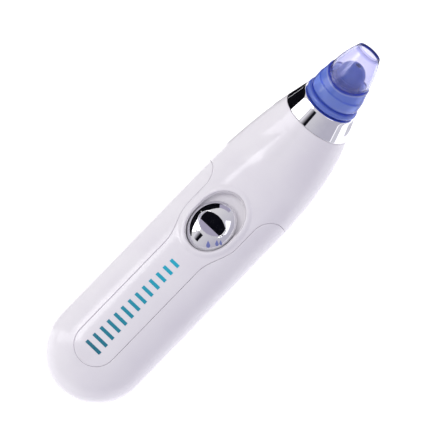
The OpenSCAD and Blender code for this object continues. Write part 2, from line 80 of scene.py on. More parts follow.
SPIGOT_R, CUP_BORE_R = 8.2, 9.05
DOME_R, DOME_W, DOME_WALL = 6.2, 14.4, 1.0
BOSS_X, BOSS_Y, BOSS_R, BOSS_SEAT_Z = 117.0, 16.2, 2.1, -9.75
TRAY_BOSS = (75.6, 5.6, 8.0)
OUTLET_X, OUTLET_PITCH, OUTLET_HALF_W, OUTLET_HALF_L = 123.0, 3.2, 0.6, 5.0
GRIP_X, GRIP_PITCH, GRIP_HALF_L, GRIP_R, GRIP_DEPTH = 88.0, 3.0, 4.0, 0.9, 0.55
PARTING_OFFSET = -2.0
CELL_PITCH, SPRING_INSET = 7.3, 0.6
PUMP_Z, PUMP_SCREW_R, PUMP_SCREW_X = -4.4, 9.9, 118.8
FIRST_BAR_X = 20.75

BEND_LEN = BEND_R * HEAD_TILT
NECK_END = BEND_START + BEND_LEN + HEAD_STRAIGHT + COLLAR_W
TAIL_X = -93.47
REST_Z = -FLAT_Z


def placed(points):
    """Hand piece millimetres to frame metres."""
    return (np.asarray(points, float) + [TAIL_X, 0.0, REST_Z]) * MM


# ---------------------------------------------------------------- the hand piece's surface
def bend_angle(u):
    return np.clip((u - BEND_START) / BEND_R, 0.0, HEAD_TILT)


def centre_line(u):
    a = bend_angle(u)
    over = np.maximum(0.0, u - BEND_START - BEND_LEN)
    x = np.minimum(u, BEND_START) + BEND_R * np.sin(a) + over * np.cos(a)
    return x, BEND_R * (1 - np.cos(a)) + over * np.sin(a)


def smooth(t):
    t = np.clip(t, 0.0, 1.0)
    return t * t * (3 - 2 * t)


def half_size(own, u):
    span = NECK_END - TAPER_START
    t = (u - TAPER_START) / span
    tc = np.clip(t, 0.0, 1.0)
    tail = np.sqrt(np.clip(1 - (np.clip(TAIL_LEN - u, 0, None) / TAIL_LEN) ** 2, 0, 1))
    taper = own + (NECK_R - own) * smooth(tc) - CONE_SLOPE * span * (tc**3 - tc**2)
    return tail * np.where(t > 1, NECK_R - CONE_SLOPE * (u - NECK_END), taper)


def skin(u, th):
    """Point on the outer skin at station u and angle th (0 is +Y, 90 degrees the switch face)."""
    n = SQUARE + (2 - SQUARE) * smooth((u - TAPER_START) / (NECK_END - TAPER_START))
    c, s = np.cos(th), np.sin(th)
    y = half_size(BODY_W / 2, u) * np.sign(c) * np.abs(c) ** (2 / n)
    v = np.where(s >= 0, half_size(FRONT_H, u), half_size(BACK_H, u))
    v = v * np.sign(s) * np.abs(s) ** (2 / n)
    x, z = centre_line(u)
    a = bend_angle(u)
    z = z + v * np.cos(a)
    low = z - FLAT_Z
    z = FLAT_Z + 0.5 * (low + np.sqrt(low * low + 0.02))
    return np.stack([x - v * np.sin(a), y, z], -1), v


def front_height(y):
    """Height of the switch face across the straight grip."""
    return FRONT_H * (1 - np.clip(np.abs(y) / (BODY_W / 2), 0, 1) ** SQUARE) ** (1 / SQUARE)


# ---------------------------------------------------------------- fields that cut the skin
# Each takes points p of the skin and their offsets v from the centre line.
FAR_OFF = 30.0


def tongue_half(x):
    flare = BODY_W / 2 - (BODY_W / 2 - BULGE_R) * np.sqrt(
        np.clip(1 - ((x - FLARE_X) / (COVER_X - FLARE_X)) ** 2, 0, 1)
    )
    bulge = TONGUE_R + (BULGE_R - TONGUE_R) * smooth((x - BULGE_START) / BULGE_LEN)
    return np.where(x > FLARE_X, flare, bulge)


def tongue_line():
    t = np.linspace(math.pi / 2, 0, 24)
    end = np.stack([TONGUE_X + TONGUE_R - TONGUE_R * np.sin(t), TONGUE_R * np.cos(t)], 1)
    x = np.linspace(TONGUE_X + TONGUE_R, FLARE_X, 90)[1:]
    side = np.stack([x, tongue_half(x)], 1)
    a = np.linspace(0, math.pi / 2, 40)[1:]
    flare_y = BODY_W / 2 - (BODY_W / 2 - BULGE_R) * np.cos(a)
    flare = np.stack([FLARE_X + (COVER_X - FLARE_X) * np.sin(a), flare_y], 1)
    return np.vstack([end, side, flare, [[COVER_X, 60.0]]])


SEAM_LINE = tongue_line()


def cover_field(p, v):
    """Distance from the cover's seam: positive on the cover, negative on the upper mouldings."""
    x, y, z = p[:, 0], np.abs(p[:, 1]), p[:, 2]
    out = COVER_X - x
    near = (z > 0) & (x < COVER_X + 12)
    q = np.stack([x[near], y[near]], 1)
    a, b = SEAM_LINE[:-1], SEAM_LINE[1:]
    d = b - a
    w = q[:, None, :] - a[None]
    t = np.clip((w * d).sum(-1) / (d * d).sum(-1), 0, 1)
    dist = np.sqrt(((w - t[..., None] * d) ** 2).sum(-1)).min(1)
    end_x = TONGUE_X + TONGUE_R
    inside = (q[:, 0] > COVER_X) | ((q[:, 0] >= end_x) & (q[:, 1] < tongue_half(q[:, 0])))
    inside |= (q[:, 0] < end_x) & (np.hypot(q[:, 0] - end_x, q[:, 1]) < TONGUE_R)
    out[near] = np.where(inside, -dist, dist)
    return out


def parting_field(p, v):
    """Positive in front of the line where the front and rear mouldings meet."""
    return v - PARTING_OFFSET


def collar_field(p, v):
    """Positive below the collar's slanted lower edge."""
    w = to_head(p)
    return (COLLAR_W - w[:, 2]) * math.cos(COLLAR_SKEW) - w[:, 0] * math.sin(COLLAR_SKEW)


def recess_field(p, v):
    """Distance outside the oval hole of the switch."""
    x, y = np.maximum(np.abs(p[:, 0] - WELL_X) - KNOB_TRAVEL / 2, 0), p[:, 1]
    q = np.sqrt((x / WELL_A) ** 2 + (y / WELL_B) ** 2) + 1e-9
    grad = np.sqrt((x / WELL_A**2) ** 2 + (y / WELL_B**2) ** 2) / q + 1e-9
    return np.where(p[:, 2] > 0, (q - 1) / grad, FAR_OFF)


def screw_hole_field(p, v):
    """Distance outside the two screw holes of the back."""
    d = np.hypot(p[:, 0] - BOSS_X, np.abs(p[:, 1]) - BOSS_Y) - BOSS_R
    return np.where(p[:, 2] < 0, d, FAR_OFF)


def slot_field(p, v):
    """Distance outside the three air outlets of the back."""
    d = np.full(len(p), FAR_OFF)
    for i in (-1, 0, 1):
        dx = np.abs(p[:, 0] - (OUTLET_X + OUTLET_PITCH * i)) - OUTLET_HALF_W
        dy = np.abs(p[:, 1]) - OUTLET_HALF_L
        box = np.hypot(np.maximum(dx, 0), np.maximum(dy, 0)) + np.minimum(np.maximum(dx, dy), 0)
        d = np.minimum(d, box)
    return np.where(p[:, 2] < 0, d, FAR_OFF)


def grip_field(p, v):
    """Negative inside the thumb grooves moulded across the back of the cover."""
    d = np.full(len(p), FAR_OFF)
    for i in range(5):
        dx = np.abs(p[:, 0] - (GRIP_X + GRIP_PITCH * i))
        dy = np.maximum(np.abs(p[:, 1]) - GRIP_HALF_L, 0)
        d = np.minimum(d, np.hypot(dx, dy) - GRIP_R)
    return np.where(p[:, 2] < 0, d, FAR_OFF)


# ---------------------------------------------------------------- head coordinates
SEAT = centre_line(np.array([BEND_START + BEND_LEN + HEAD_STRAIGHT]))
SEAT = np.array([SEAT[0][0], 0.0, SEAT[1][0]])
HEAD_AXES = np.array(
    [
        [math.sin(HEAD_TILT), 0, -math.cos(HEAD_TILT)],
        [0, 1, 0],
        [math.cos(HEAD_TILT), 0, math.sin(HEAD_TILT)],
    ]
)


def to_head(p):
    return (np.asarray(p, float) - SEAT) @ HEAD_AXES.T


def from_head(q):
    return np.asarray(q, float) @ HEAD_AXES + SEAT


# ---------------------------------------------------------------- cutting a grid of the skin
class SkinPatch:
    """A grid over (station, angle) whose faces can be split and kept by fields on the skin."""

    def __init__(self, stations, around, surface=skin):
        self.surface = surface
        th = np.linspace(-math.pi / 2, 1.5 * math.pi, around + 1)
        uu, tt = np.meshgrid(stations, th, indexing="ij")
        self.uv = np.stack([uu.ravel(), tt.ravel()], 1)
        i, j = np.meshgrid(np.arange(len(stations) - 1), np.arange(around), indexing="ij")
        a = (i * (around + 1) + j).ravel()
        self.faces = np.stack([a, a + 1, a + around + 2, a + around + 1], 1)

    def value(self, field, uv=None):
        p, v = self.surface(*(self.uv if uv is None else uv).T)
        return field(p, v)

    def split(self, field, level):
        """Puts a row of edges along field = level, and returns the values at the vertices."""
        val = self.value(field) - level
        val[np.abs(val) < 1e-5] = 0.0
        f = self.faces
        fv = np.where(f >= 0, val[f], np.nan)
        crossing = (np.nanmin(fv, 1) < 0) & (np.nanmax(fv, 1) > 0)
        keep, cut = f[~crossing], f[crossing]
        edges = {}
        for face in cut.tolist():
            loop = [k for k in face if k >= 0]
            for a, b in zip(loop, loop[1:] + loop[:1]):
                if val[a] * val[b] < 0:
                    edges.setdefault((min(a, b), max(a, b)), len(edges))
        if not edges:
            return val
        pairs = np.array(list(edges))
        lo, hi = self.uv[pairs[:, 0]].copy(), self.uv[pairs[:, 1]].copy()
        vlo = val[pairs[:, 0]]
        for _ in range(14):
            mid = 0.5 * (lo + hi)
            same = (self.value(field, mid) - level) * vlo > 0
            lo[same], hi[~same] = mid[same], mid[~same]
        base = len(self.uv)
        self.uv = np.vstack([self.uv, 0.5 * (lo + hi)])
        val = np.append(val, np.zeros(len(pairs)))
        out = []
        for face in cut.tolist():
            loop = [k for k in face if k >= 0]
            sides = ([], [])
            for a, b in zip(loop, loop[1:] + loop[:1]):
                if val[a] >= 0:
                    sides[0].append(a)
                if val[a] <= 0:
                    sides[1].append(a)
                if val[a] * val[b] < 0:
                    new = base + edges[(min(a, b), max(a, b))]
                    sides[0].append(new)
                    sides[1].append(new)
            for poly in sides:
                if len(poly) >= 3:
                    out.append(poly[:4] + [-1] * (4 - len(poly[:4])))
                    if len(poly) == 5:
                        out.append([poly[0], poly[3], poly[4], -1])
        self.faces = np.vstack([keep, np.array(out, int)])
        return val

    def keep(self, field, level, positive=True):
        """Splits along field = level and drops the other side."""
        val = self.split(field, level)
        fv = np.where(self.faces >= 0, val[self.faces], 0.0)
        side = fv.sum(1) > 0 if positive else fv.sum(1) < 0
        self.faces = self.faces[side]

    def compact(self):
        """Surface values at the vertices still in use, and the faces counted over them."""
        used = np.unique(self.faces[self.faces >= 0])
        index = np.full(len(self.uv), -1)
        index[used] = np.arange(len(used))
        faces = np.where(self.faces >= 0, index[self.faces], -1)
        return (*self.surface(*self.uv[used].T), faces.tolist())


def welded(points, faces, digits=5):
    """Merges points in the same place and drops the faces that this leaves with under three."""
    key = np.round(points, digits)
    _, first, back = np.unique(key, axis=0, return_index=True, return_inverse=True)
    back = back.ravel()
    out = []
    for face in faces:
        loop = []
        for k in face:
            if k < 0:
                continue
            k = back[k]
            if k not in loop:
                loop.append(int(k))
        if len(loop) >= 3:
            out.append(loop)
    return points[first], out


def vertex_normals(points, faces):
    n = np.zeros_like(points)
    for size in (3, 4):
        group = np.array([f for f in faces if len(f) == size])
        if not len(group):
            continue
        a, b, c = (points[group[:, k]] for k in (0, 1, 2))
        d = points[group[:, -1]]
        face_n = np.cross(c - a, d - b) if size == 4 else np.cross(b - a, c - a)
        for k in range(size):
            np.add.at(n, group[:, k], face_n)
    return n / (np.linalg.norm(n, axis=1, keepdims=True) + 1e-12)


def loop_edges(loops):
    """Every directed edge of the loops, in order."""
    return dict.fromkeys((a, b) for loop in loops for a, b in zip(loop, loop[1:] + loop[:1]))


def shell_mesh(patch, lower):
    """Closed moulding from a patch: outer face lowered by lower(p, v), inner face a wall inside."""
    p, v, faces = patch.compact()
    merged, loops = welded(np.column_stack([p, lower(p, v)]), faces)
    p, drop = merged[:, :3], merged[:, 3]
    n = vertex_normals(p, loops)
    outer = p - n * drop[:, None]
    inner = p - n * WALL
    count = len(p)
    edges = loop_edges(loops)
    rim = [[b, a, a + count, b + count] for a, b in edges if (b, a) not in edges]
    back = [[k + count for k in reversed(loop)] for loop in loops]
    return np.vstack([outer, inner]), loops + back + rim


# ---------------------------------------------------------------- making objects
def make_object(name, points, faces, material, sharp=40.0, to_frame=True):
    """Smooth-shaded mesh object, its points in millimetres unless to_frame is off."""
    mesh = bpy.data.meshes.new(name)
    pts = placed(points) if to_frame else np.asarray(points)
    mesh.from_pydata([tuple(p) for p in pts], [], [list(f) for f in faces])
    mesh.validate()
    mesh.shade_smooth()
    mesh.set_sharp_from_angle(angle=math.radians(sharp))
    mesh.materials.append(material)
    obj = bpy.data.objects.new(name, mesh)
    bpy.context.collection.objects.link(obj)
    return obj


def recalculated(obj):
    """The same object with its face normals turned outwards."""
    bm = bmesh.new()
    bm.from_mesh(obj.data)
    bmesh.ops.remove_doubles(bm, verts=bm.verts, dist=1e-7)
    bmesh.ops.recalc_face_normals(bm, faces=bm.faces)
    bm.to_mesh(obj.data)
    bm.free()
    return obj


def lofted(rings):
    """Faces between rings of points, all the same length, from the last ring back to the first."""
    count, around = len(rings), len(rings[0])
    faces = []
    for i in range(count):
        a, b = i * around, ((i + 1) % count) * around
        for j in range(around):
            k = (j + 1) % around
            faces.append([a + j, a + k, b + k, b + j])
    return np.vstack(rings), faces


def rounded(points, radius, steps=4):
    """A closed profile with each corner taken off by a small arc."""
    out = []
    count = len(points)
    pts = [np.array(p, float) for p in points]
    for i, p in enumerate(pts):
        a, b = pts[i - 1] - p, pts[(i + 1) % count] - p
        la, lb = np.linalg.norm(a), np.linalg.norm(b)
        r = min(radius, 0.45 * la, 0.45 * lb)
        for k in range(steps + 1):
            t = k / steps
            start, end = p + a / la * r, p + b / lb * r
            out.append(tuple((1 - t) ** 2 * start + 2 * t * (1 - t) * p + t * t * end))
    return out


# ---------------------------------------------------------------- camera
VIEW_TILT, VIEW_TURN, VIEW_ROLL = math.radians(7.88), math.radians(6.06), math.radians(-0.854)
VIEW_WIDTH, VIEW_DISTANCE = 178.4, 2000.0
VIEW_SHIFT = (2.96, -4.18)
BODY_MID_Z = 19.1
SENSOR_WIDTH = 36.0


def build_camera():
    """A long lens nearly above the switch face, with the hand piece running up to the right."""
    ct, st, ca, sa = (f(a) for a in (VIEW_TILT, VIEW_TURN) for f in (math.cos, math.sin))
    along = Vector((ca, -st * sa, ct * sa))
    across = Vector((0.0, -ct, -st))
    back = Vector((-sa, -st * ca, ct * ca))
    target = along * VIEW_SHIFT[0] + across * VIEW_SHIFT[1] + Vector((0, 0, BODY_MID_Z))
    turned = Matrix.Rotation(VIEW_ROLL, 3, back)
    along, across = turned @ along, turned @ across
    right, up = (along + across).normalized(), (along - across).normalized()
    data = bpy.data.cameras.new("camera")
    data.sensor_width = SENSOR_WIDTH
    data.lens = SENSOR_WIDTH * VIEW_DISTANCE / VIEW_WIDTH
    data.clip_end = 10.0
    camera = bpy.data.objects.new("camera", data)
    bpy.context.collection.objects.link(camera)
    place = (target + back * VIEW_DISTANCE) * MM
    camera.matrix_world = Matrix.Translation(place) @ Matrix((right, up, back)).transposed().to_4x4()
    bpy.context.scene.camera = camera


build_camera()


# ---------------------------------------------------------------- materials
def new_material(name):
    material = bpy.data.materials.new(name)
    material.use_nodes = True
    nodes = material.node_tree.nodes
    return material, material.node_tree, nodes["Principled BSDF"], nodes["Material Output"]


def fill(node, inputs):
    """Links each input to its socket, or sets it to its plain value."""
    for key, value in inputs.items():
        if isinstance(value, bpy.types.NodeSocket):
            node.id_data.links.new(value, node.inputs[key])
        else:
            node.inputs[key].default_value = value
    return node


def add_node(tree, kind, inputs=None, **settings):
    node = tree.nodes.new(kind)
    for key, value in settings.items():
        setattr(node, key, value)
    return fill(node, inputs or {})


def object_place(tree):
    return add_node(tree, "ShaderNodeTexCoord").outputs["Object"]


def place_along(tree, axis):
    """One of the frame's coordinates, in metres."""
    return add_node(tree, "ShaderNodeSeparateXYZ", {0: object_place(tree)}).outputs[axis]


def noise(tree, scale, detail=3.0, stretch=(1, 1, 1)):
    """Noise at so many cells to the metre in the frame's own coordinates."""
    mapped = add_node(tree, "ShaderNodeMapping", {"Vector": object_place(tree), "Scale": stretch})
    inputs = {"Vector": mapped.outputs[0], "Scale": scale, "Detail": detail}
    return add_node(tree, "ShaderNodeTexNoise", inputs).outputs["Fac"]


def between(tree, fac, low, high, start=0.3, end=0.7):
    """A value that goes from low to high while fac goes from start to end."""
    node = add_node(tree, "ShaderNodeMapRange", {"Value": fac, 1: start, 2: end, 3: low, 4: high})
    return node.outputs[0]


def tint(tree, fac, first, second, start=0.35, end=0.65):
    """A colour that goes from the first to the second while fac goes from start to end."""
    ramp = add_node(tree, "ShaderNodeValToRGB", {"Fac": fac})
    ramp.color_ramp.elements[0].position = start
    ramp.color_ramp.elements[1].position = end
    ramp.color_ramp.elements[0].color = (*first, 1)
    ramp.color_ramp.elements[1].color = (*second, 1)
    return ramp.outputs["Color"]


def bump(tree, shader, height, strength, distance):
    node = add_node(
        tree, "ShaderNodeBump", {"Height": height, "Strength": strength, "Distance": distance}
    )
    fill(shader, {"Normal": node.outputs[0]})


def plastic(name, first, second, rough, grain=900.0, grain_depth=0.00002, coat=0.0):
    """Moulded plastic: two close tints, a slightly uneven sheen and a fine surface grain."""
    material, tree, shader, _ = new_material(name)
    bump(tree, shader, noise(tree, grain, 2.0), 0.12, grain_depth)
    fill(shader, {
        "Base Color": tint(tree, noise(tree, 60.0), first, second),
        "Roughness": between(tree, noise(tree, 240.0), *rough),
        "Coat Weight": coat,
        "Coat Roughness": 0.05,
    })
    return material


def metal(name, first, second, rough, stretch=(1, 1, 1), scale=700.0, depth=0.000008):
    """Bare or plated metal with fine lines, drawn out one way by stretch."""
    material, tree, shader, _ = new_material(name)
    lines = noise(tree, scale, 4.0, stretch)
    bump(tree, shader, lines, 0.15, depth)
    fill(shader, {
        "Base Color": tint(tree, lines, first, second),
        "Roughness": between(tree, lines, *rough),
        "Metallic": 1.0,
    })
    return material


def tone_ramp(tree, tone, stops):
    """A colour read off a list of (tone, colour) stops."""
    low, high = stops[0][0], stops[-1][0]
    ramp = add_node(tree, "ShaderNodeValToRGB", {"Fac": between(tree, tone, 0.0, 1.0, low, high)})
    marks = ramp.color_ramp.elements
    marks[0].color = (*stops[0][1], 1)
    marks[1].color = (*stops[-1][1], 1)
    for height, shade in stops[1:-1]:
        marks.new((height - low) / (high - low)).color = (*shade, 1)
    return ramp.outputs[0]


def multiplied(tree, factor, first, second):
    """The first colour multiplied by the second, as far as the factor says."""
    mixed = add_node(tree, "ShaderNodeMix", data_type="RGBA", blend_type="MULTIPLY")
    return fill(mixed, {"Factor": factor, "A": first, "B": second}).outputs["Result"]


CLOUDY_TONE, CLEAR_TONE = 12.5, 14.6
# painted shade: the colour multiplied into clear parts near their outline
PAINTED_OUTLINE_SHADE = (0.3, 0.32, 0.62, 1)


def clear_plastic(name, body, absorb, density, rough, clearness, stops=None):
    """Clear moulding with painted shade that darkens its outline where the surface turns from view. Stops
    colour it by the tones stored on its mesh.
    """
    material, tree, shader, output = new_material(name)
    colour = tint(tree, noise(tree, 90.0), *body)
    if stops:
        tone = add_node(tree, "ShaderNodeAttribute", attribute_name="tone").outputs["Fac"]
        colour = multiplied(tree, 1.0, colour, tone_ramp(tree, tone, stops))
        clearness = between(tree, tone, 0.5, clearness, CLOUDY_TONE, CLEAR_TONE)
    facing = add_node(tree, "ShaderNodeLayerWeight", {"Blend": 0.5}).outputs["Facing"]
    # painted shade: the outline darkens as the surface turns away from view
    outline = between(tree, facing, 0.0, 0.85, 0.62, 0.98)
    bump(tree, shader, noise(tree, 260.0, 2.0), 0.08, 0.00004)
    fill(shader, {
        "Base Color": multiplied(tree, outline, colour, PAINTED_OUTLINE_SHADE),
        "Roughness": between(tree, noise(tree, 400.0), *rough),
        "IOR": 1.47,
        "Transmission Weight": clearness,
    })
    inside = add_node(
        tree, "ShaderNodeVolumeAbsorption", {"Color": (*absorb, 1), "Density": density}
    )
    fill(output, {"Volume": inside.outputs[0]})
    return material


def cell_foil():
    """Battery jackets: a bright band at one end of a dark metallic wrap, with fine rolled lines."""
    material, tree, shader, _ = new_material("cell_foil")
    bare, wrap, band = (0.75, 0.74, 0.72), (0.03, 0.09, 0.2), (0.6, 0.34, 0.09)
    low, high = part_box("aa_cells")
    share = between(tree, place_along(tree, "X"), 0.0, 1.0, low.x, high.x)
    ramp = add_node(tree, "ShaderNodeValToRGB", {"Fac": share})
    ramp.color_ramp.interpolation = "CONSTANT"
    marks = ramp.color_ramp.elements
    marks[0].color = (*bare, 1)
    marks[1].position = 0.05
    marks[1].color = (*wrap, 1)
    for where, colour in ((0.3, band), (0.33, wrap), (0.93, bare)):
        marks.new(where).color = (*colour, 1)
    lines = noise(tree, 500.0, 3.0, (1, 8, 8))
    bump(tree, shader, lines, 0.1, 0.00001)
    fill(shader, {
        "Base Color": ramp.outputs[0],
        "Roughness": between(tree, lines, 0.2, 0.36),
        "Metallic": 0.8,
    })
    return material


def circuit_green():
    """Solder mask with copper tracks showing through as a paler pattern."""
    material, tree, shader, _ = new_material("circuit_green")
    grid = add_node(tree, "ShaderNodeTexBrick", {
        "Vector": object_place(tree), "Scale": 330.0, "Mortar Size": 0.06,
        "Color1": (0.02, 0.16, 0.06, 1), "Color2": (0.03, 0.2, 0.07, 1),
        "Mortar": (0.1, 0.34, 0.12, 1),
    })
    bump(tree, shader, grid.outputs["Fac"], 0.3, 0.00003)
    fill(shader, {
        "Base Color": grid.outputs["Color"],
        "Roughness": between(tree, noise(tree, 700.0), 0.25, 0.4),
    })
    return material


def foam():
    """Open-celled sponge, with painted shade that darkens the pits of its cells."""
    material, tree, shader, _ = new_material("filter_foam")
    cells = add_node(
        tree, "ShaderNodeTexVoronoi", {"Vector": object_place(tree), "Scale": 2400.0}
    ).outputs["Distance"]
    bump(tree, shader, cells, 0.8, 0.0002)
    # painted shade: the low pits of the cells are coloured darker than their ridges
    shade = tint(tree, cells, (0.55, 0.54, 0.5), (0.93, 0.92, 0.88), 0.1, 0.5)
    fill(shader, {"Base Color": shade, "Roughness": 0.95})
    return material


def printed_ink(name, tail_colour, head_colour, low_x, high_x):
    """Ink that runs from one colour to another along the hand piece."""
    material, tree, shader, _ = new_material(name)
    share = between(tree, place_along(tree, "X"), 0.0, 1.0, low_x, high_x)
    fill(shader, {
        "Base Color": tint(tree, share, tail_colour, head_colour, 0.0, 1.0),
        "Roughness": between(tree, noise(tree, 900.0), 0.25, 0.4),
    })
    return material


def bright_floor():
    """Backdrop that gives off a little light of its own."""
    material, tree, shader, _ = new_material("pale_floor")
    fill(shader, {
        "Base Color": tint(tree, noise(tree, 12.0), (0.9, 0.9, 0.905), (0.92, 0.92, 0.925)),
        "Roughness": 0.7,
        "Emission Color": (1, 1, 1, 1),
        "Emission Strength": 0.55,
    })
    return material


WHITE = plastic(
    "gloss_white", (0.845, 0.82, 0.865), (0.87, 0.85, 0.885), (0.14, 0.2), 700.0, 0.00001, 0.15
)
WELL_WHITE = plastic(
    "recess_white", (0.83, 0.81, 0.84), (0.86, 0.84, 0.87), (0.2, 0.28), 700.0, 0.00001, 0.2
)
CHROME = metal(
    "bright_chrome", (0.86, 0.86, 0.885), (0.89, 0.89, 0.91), (0.03, 0.06), (1, 1, 1), 300.0, 0.000001
)
# tones follow the cup's height in millimetres, from the flange to the mouth. The blues and the clear lilac
# tip are the cup's own colour; the dark stops at the band's edges, the shoulder step and the mouth rim are
# painted shade, and the pale stop under the shoulder is a painted highlight
CUP_TINT_AND_SHADE_STOPS = [
    (-1.2, (0.16, 0.26, 0.86)), (1.2, (0.24, 0.36, 0.95)), (1.9, (0.1, 0.17, 0.72)),
    (2.6, (0.16, 0.26, 0.85)), (3.4, (0.3, 0.42, 0.97)), (7.2, (0.3, 0.43, 0.97)),
    (7.8, (0.12, 0.21, 0.8)), (8.6, (0.24, 0.36, 0.94)), (12.0, (0.26, 0.38, 0.95)),
    (12.9, (0.55, 0.64, 1.0)), (13.45, (0.1, 0.16, 0.72)), (14.0, (0.05, 0.09, 0.6)),
    (14.5, (0.88, 0.86, 1.0)), (26.2, (0.9, 0.87, 1.0)), (28.2, (0.05, 0.08, 0.5)),
    (29.0, (0.03, 0.05, 0.42)),
]
BLUE_CLEAR = clear_plastic(
    "cup_blue", ((0.96, 0.97, 1.0), (1.0, 1.0, 1.0)), (0.3, 0.5, 1.0), 90.0, (0.05, 0.1), 0.95, CUP_TINT_AND_SHADE_STOPS
)
DOME_BLUE = clear_plastic(
    "dome_blue", ((0.03, 0.13, 0.7), (0.05, 0.19, 0.8)), (0.25, 0.45, 1.0), 200.0, (0.08, 0.16), 0.2
)
FROST = clear_plastic(
    "spigot_clear", ((0.86, 0.88, 1.0), (0.9, 0.92, 1.0)), (0.7, 0.78, 1.0), 60.0, (0.12, 0.25), 0.6
)
HOSE = clear_plastic(
    "hose_clear", ((0.8, 0.86, 0.92), (0.88, 0.92, 0.96)), (0.8, 0.9, 1.0), 40.0, (0.15, 0.3), 0.7
)
DARK = plastic(
    "dark_moulding", (0.012, 0.012, 0.015), (0.02, 0.02, 0.024), (0.42, 0.55), 1400.0, 0.00004
)
GREY = plastic(
    "grey_moulding", (0.09, 0.092, 0.1), (0.12, 0.122, 0.13), (0.45, 0.6), 1400.0, 0.00004
)
PUMP_WHITE = plastic(
    "pump_ivory", (0.72, 0.71, 0.66), (0.78, 0.77, 0.72), (0.35, 0.5), 1200.0, 0.00003
)
RUBBER = plastic(
    "soft_rubber", (0.014, 0.014, 0.015), (0.022, 0.022, 0.024), (0.6, 0.78), 2000.0, 0.00006
)
STEEL = metal("brushed_steel", (0.55, 0.55, 0.57), (0.66, 0.66, 0.68), (0.2, 0.36), (1, 10, 1))
MAGNET = metal("sintered_magnet", (0.05, 0.05, 0.055), (0.09, 0.09, 0.095), (0.5, 0.7))
BRASS = metal("plated_contacts", (0.72, 0.55, 0.22), (0.8, 0.64, 0.3), (0.2, 0.34))
COPPER = metal(
    "enamelled_copper", (0.62, 0.25, 0.09), (0.78, 0.38, 0.16), (0.22, 0.4), (1, 14, 14), 900.0, 0.0001
)
WIRE = plastic("wire_red", (0.4, 0.02, 0.015), (0.5, 0.03, 0.02), (0.4, 0.55))
FOIL = cell_foil()
BOARD = circuit_green()
FOAM = foam()
PRINT_LO, PRINT_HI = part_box("panel_print")
TEAL = printed_ink("teal_print", (0.0, 0.16, 0.24), (0.0, 0.45, 0.62), PRINT_LO.x, PRINT_HI.x)
KNOB_LO, KNOB_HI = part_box("switch_knob")
DROPS = printed_ink("drop_print", (0.17, 0.2, 0.5), (0.24, 0.27, 0.55), KNOB_LO.x, KNOB_HI.x)

NODE_FINISH = {
    "battery_tray": GREY, "aa_cells": FOIL, "contact_plates": BRASS, "knob_carrier": DARK,
    "slide_switch": STEEL, "circuit_board": BOARD, "motor_can": STEEL, "motor_end_cap": PUMP_WHITE,
    "motor_magnets": MAGNET, "motor_armature": COPPER, "motor_shaft": STEEL,
    "eccentric_hub": PUMP_WHITE, "rocker": PUMP_WHITE, "pump_housing": DARK, "diaphragm": RUBBER,
    "valve_plate": PUMP_WHITE, "pump_cap": DARK, "pump_cradle": GREY, "air_hose": HOSE,
    "neck_ring": PUMP_WHITE, "nozzle_base": FROST, "o_ring": RUBBER, "filter_sponge": FOAM,
    "lead_wires": WIRE, "drop_marks": DROPS,
}


def finish_cad_nodes():
    """Gives each inside piece that keeps its CAD shape its own finish."""
    for node, material in NODE_FINISH.items():
        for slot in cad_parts[node].material_slots:
            slot.material = material


finish_cad_nodes()


# ---------------------------------------------------------------- white mouldings
EDGE_R = 0.2
SEAM_GAP = 0.13
JOIN_GAP = 0.05


def skin_stations():
    tail = TAIL_LEN * (1 - np.cos(np.linspace(0, math.pi / 2, 42)))
    grip = np.linspace(TAIL_LEN, TAPER_START, 84)[1:]
    neck = np.linspace(TAPER_START, NECK_END + 4, 52)[1:]
    return np.concatenate([tail, grip, neck])


def edge_drop(distance, radius=EDGE_R):
    """How far a rounded edge falls below the surface at a distance from its rim."""
    t = np.clip(1 - distance / radius, 0, 1)
    return radius * (1 - np.sqrt(1 - t * t))


def lip_rise(distance):
    """Soft raised lip round the switch recess, rolled over into the hole."""
    outside = 1 - smooth((distance - 0.9) / 1.9)
    rolled = np.sqrt(np.clip(1 - np.clip(1 - distance / 0.7, 0, 1) ** 2, 0, 1))
    return LIP_H * outside - 0.45 * (1 - rolled)


def cover_piece():
    patch = SkinPatch(skin_stations(), 168)
    patch.keep(cover_field, SEAM_GAP)
    for level in (SEAM_GAP + 0.07, SEAM_GAP + 0.15, SEAM_GAP + 0.35):
        patch.split(cover_field, level)
    patch.split(grip_field, 0.0)

    def lower(p, v):
        grips = np.clip(-grip_field(p, v), 0, None)
        return edge_drop(cover_field(p, v) - SEAM_GAP) + GRIP_DEPTH * np.minimum(grips, 1.0)

    points, faces = shell_mesh(patch, lower)
    return make_object("battery_cover_skin", points, faces, WHITE)


def front_piece():
    patch = SkinPatch(skin_stations(), 168)
    patch.keep(cover_field, 0.0, positive=False)
    patch.keep(parting_field, JOIN_GAP)
    patch.keep(collar_field, JOIN_GAP)
    patch.keep(recess_field, 0.0)
    for level in (-0.07, -0.15, -0.35):
        patch.split(cover_field, level)
    for level in (0.07, 0.17, 0.32, 0.5, 0.7, 0.95, 1.25, 1.6, 2.0, 2.4, 2.8):
        patch.split(recess_field, level)
    for level in (JOIN_GAP + 0.1, JOIN_GAP + 0.3):
        patch.split(parting_field, level)
        patch.split(collar_field, level)

    def lower(p, v):
        seams = edge_drop(-cover_field(p, v))
        seams = np.maximum(seams, edge_drop(parting_field(p, v) - JOIN_GAP, 0.2))
        seams = np.maximum(seams, edge_drop(collar_field(p, v) - JOIN_GAP, 0.15))
        return seams - lip_rise(recess_field(p, v))

    points, faces = shell_mesh(patch, lower)
    return make_object("front_shell_skin", points, faces, WHITE)


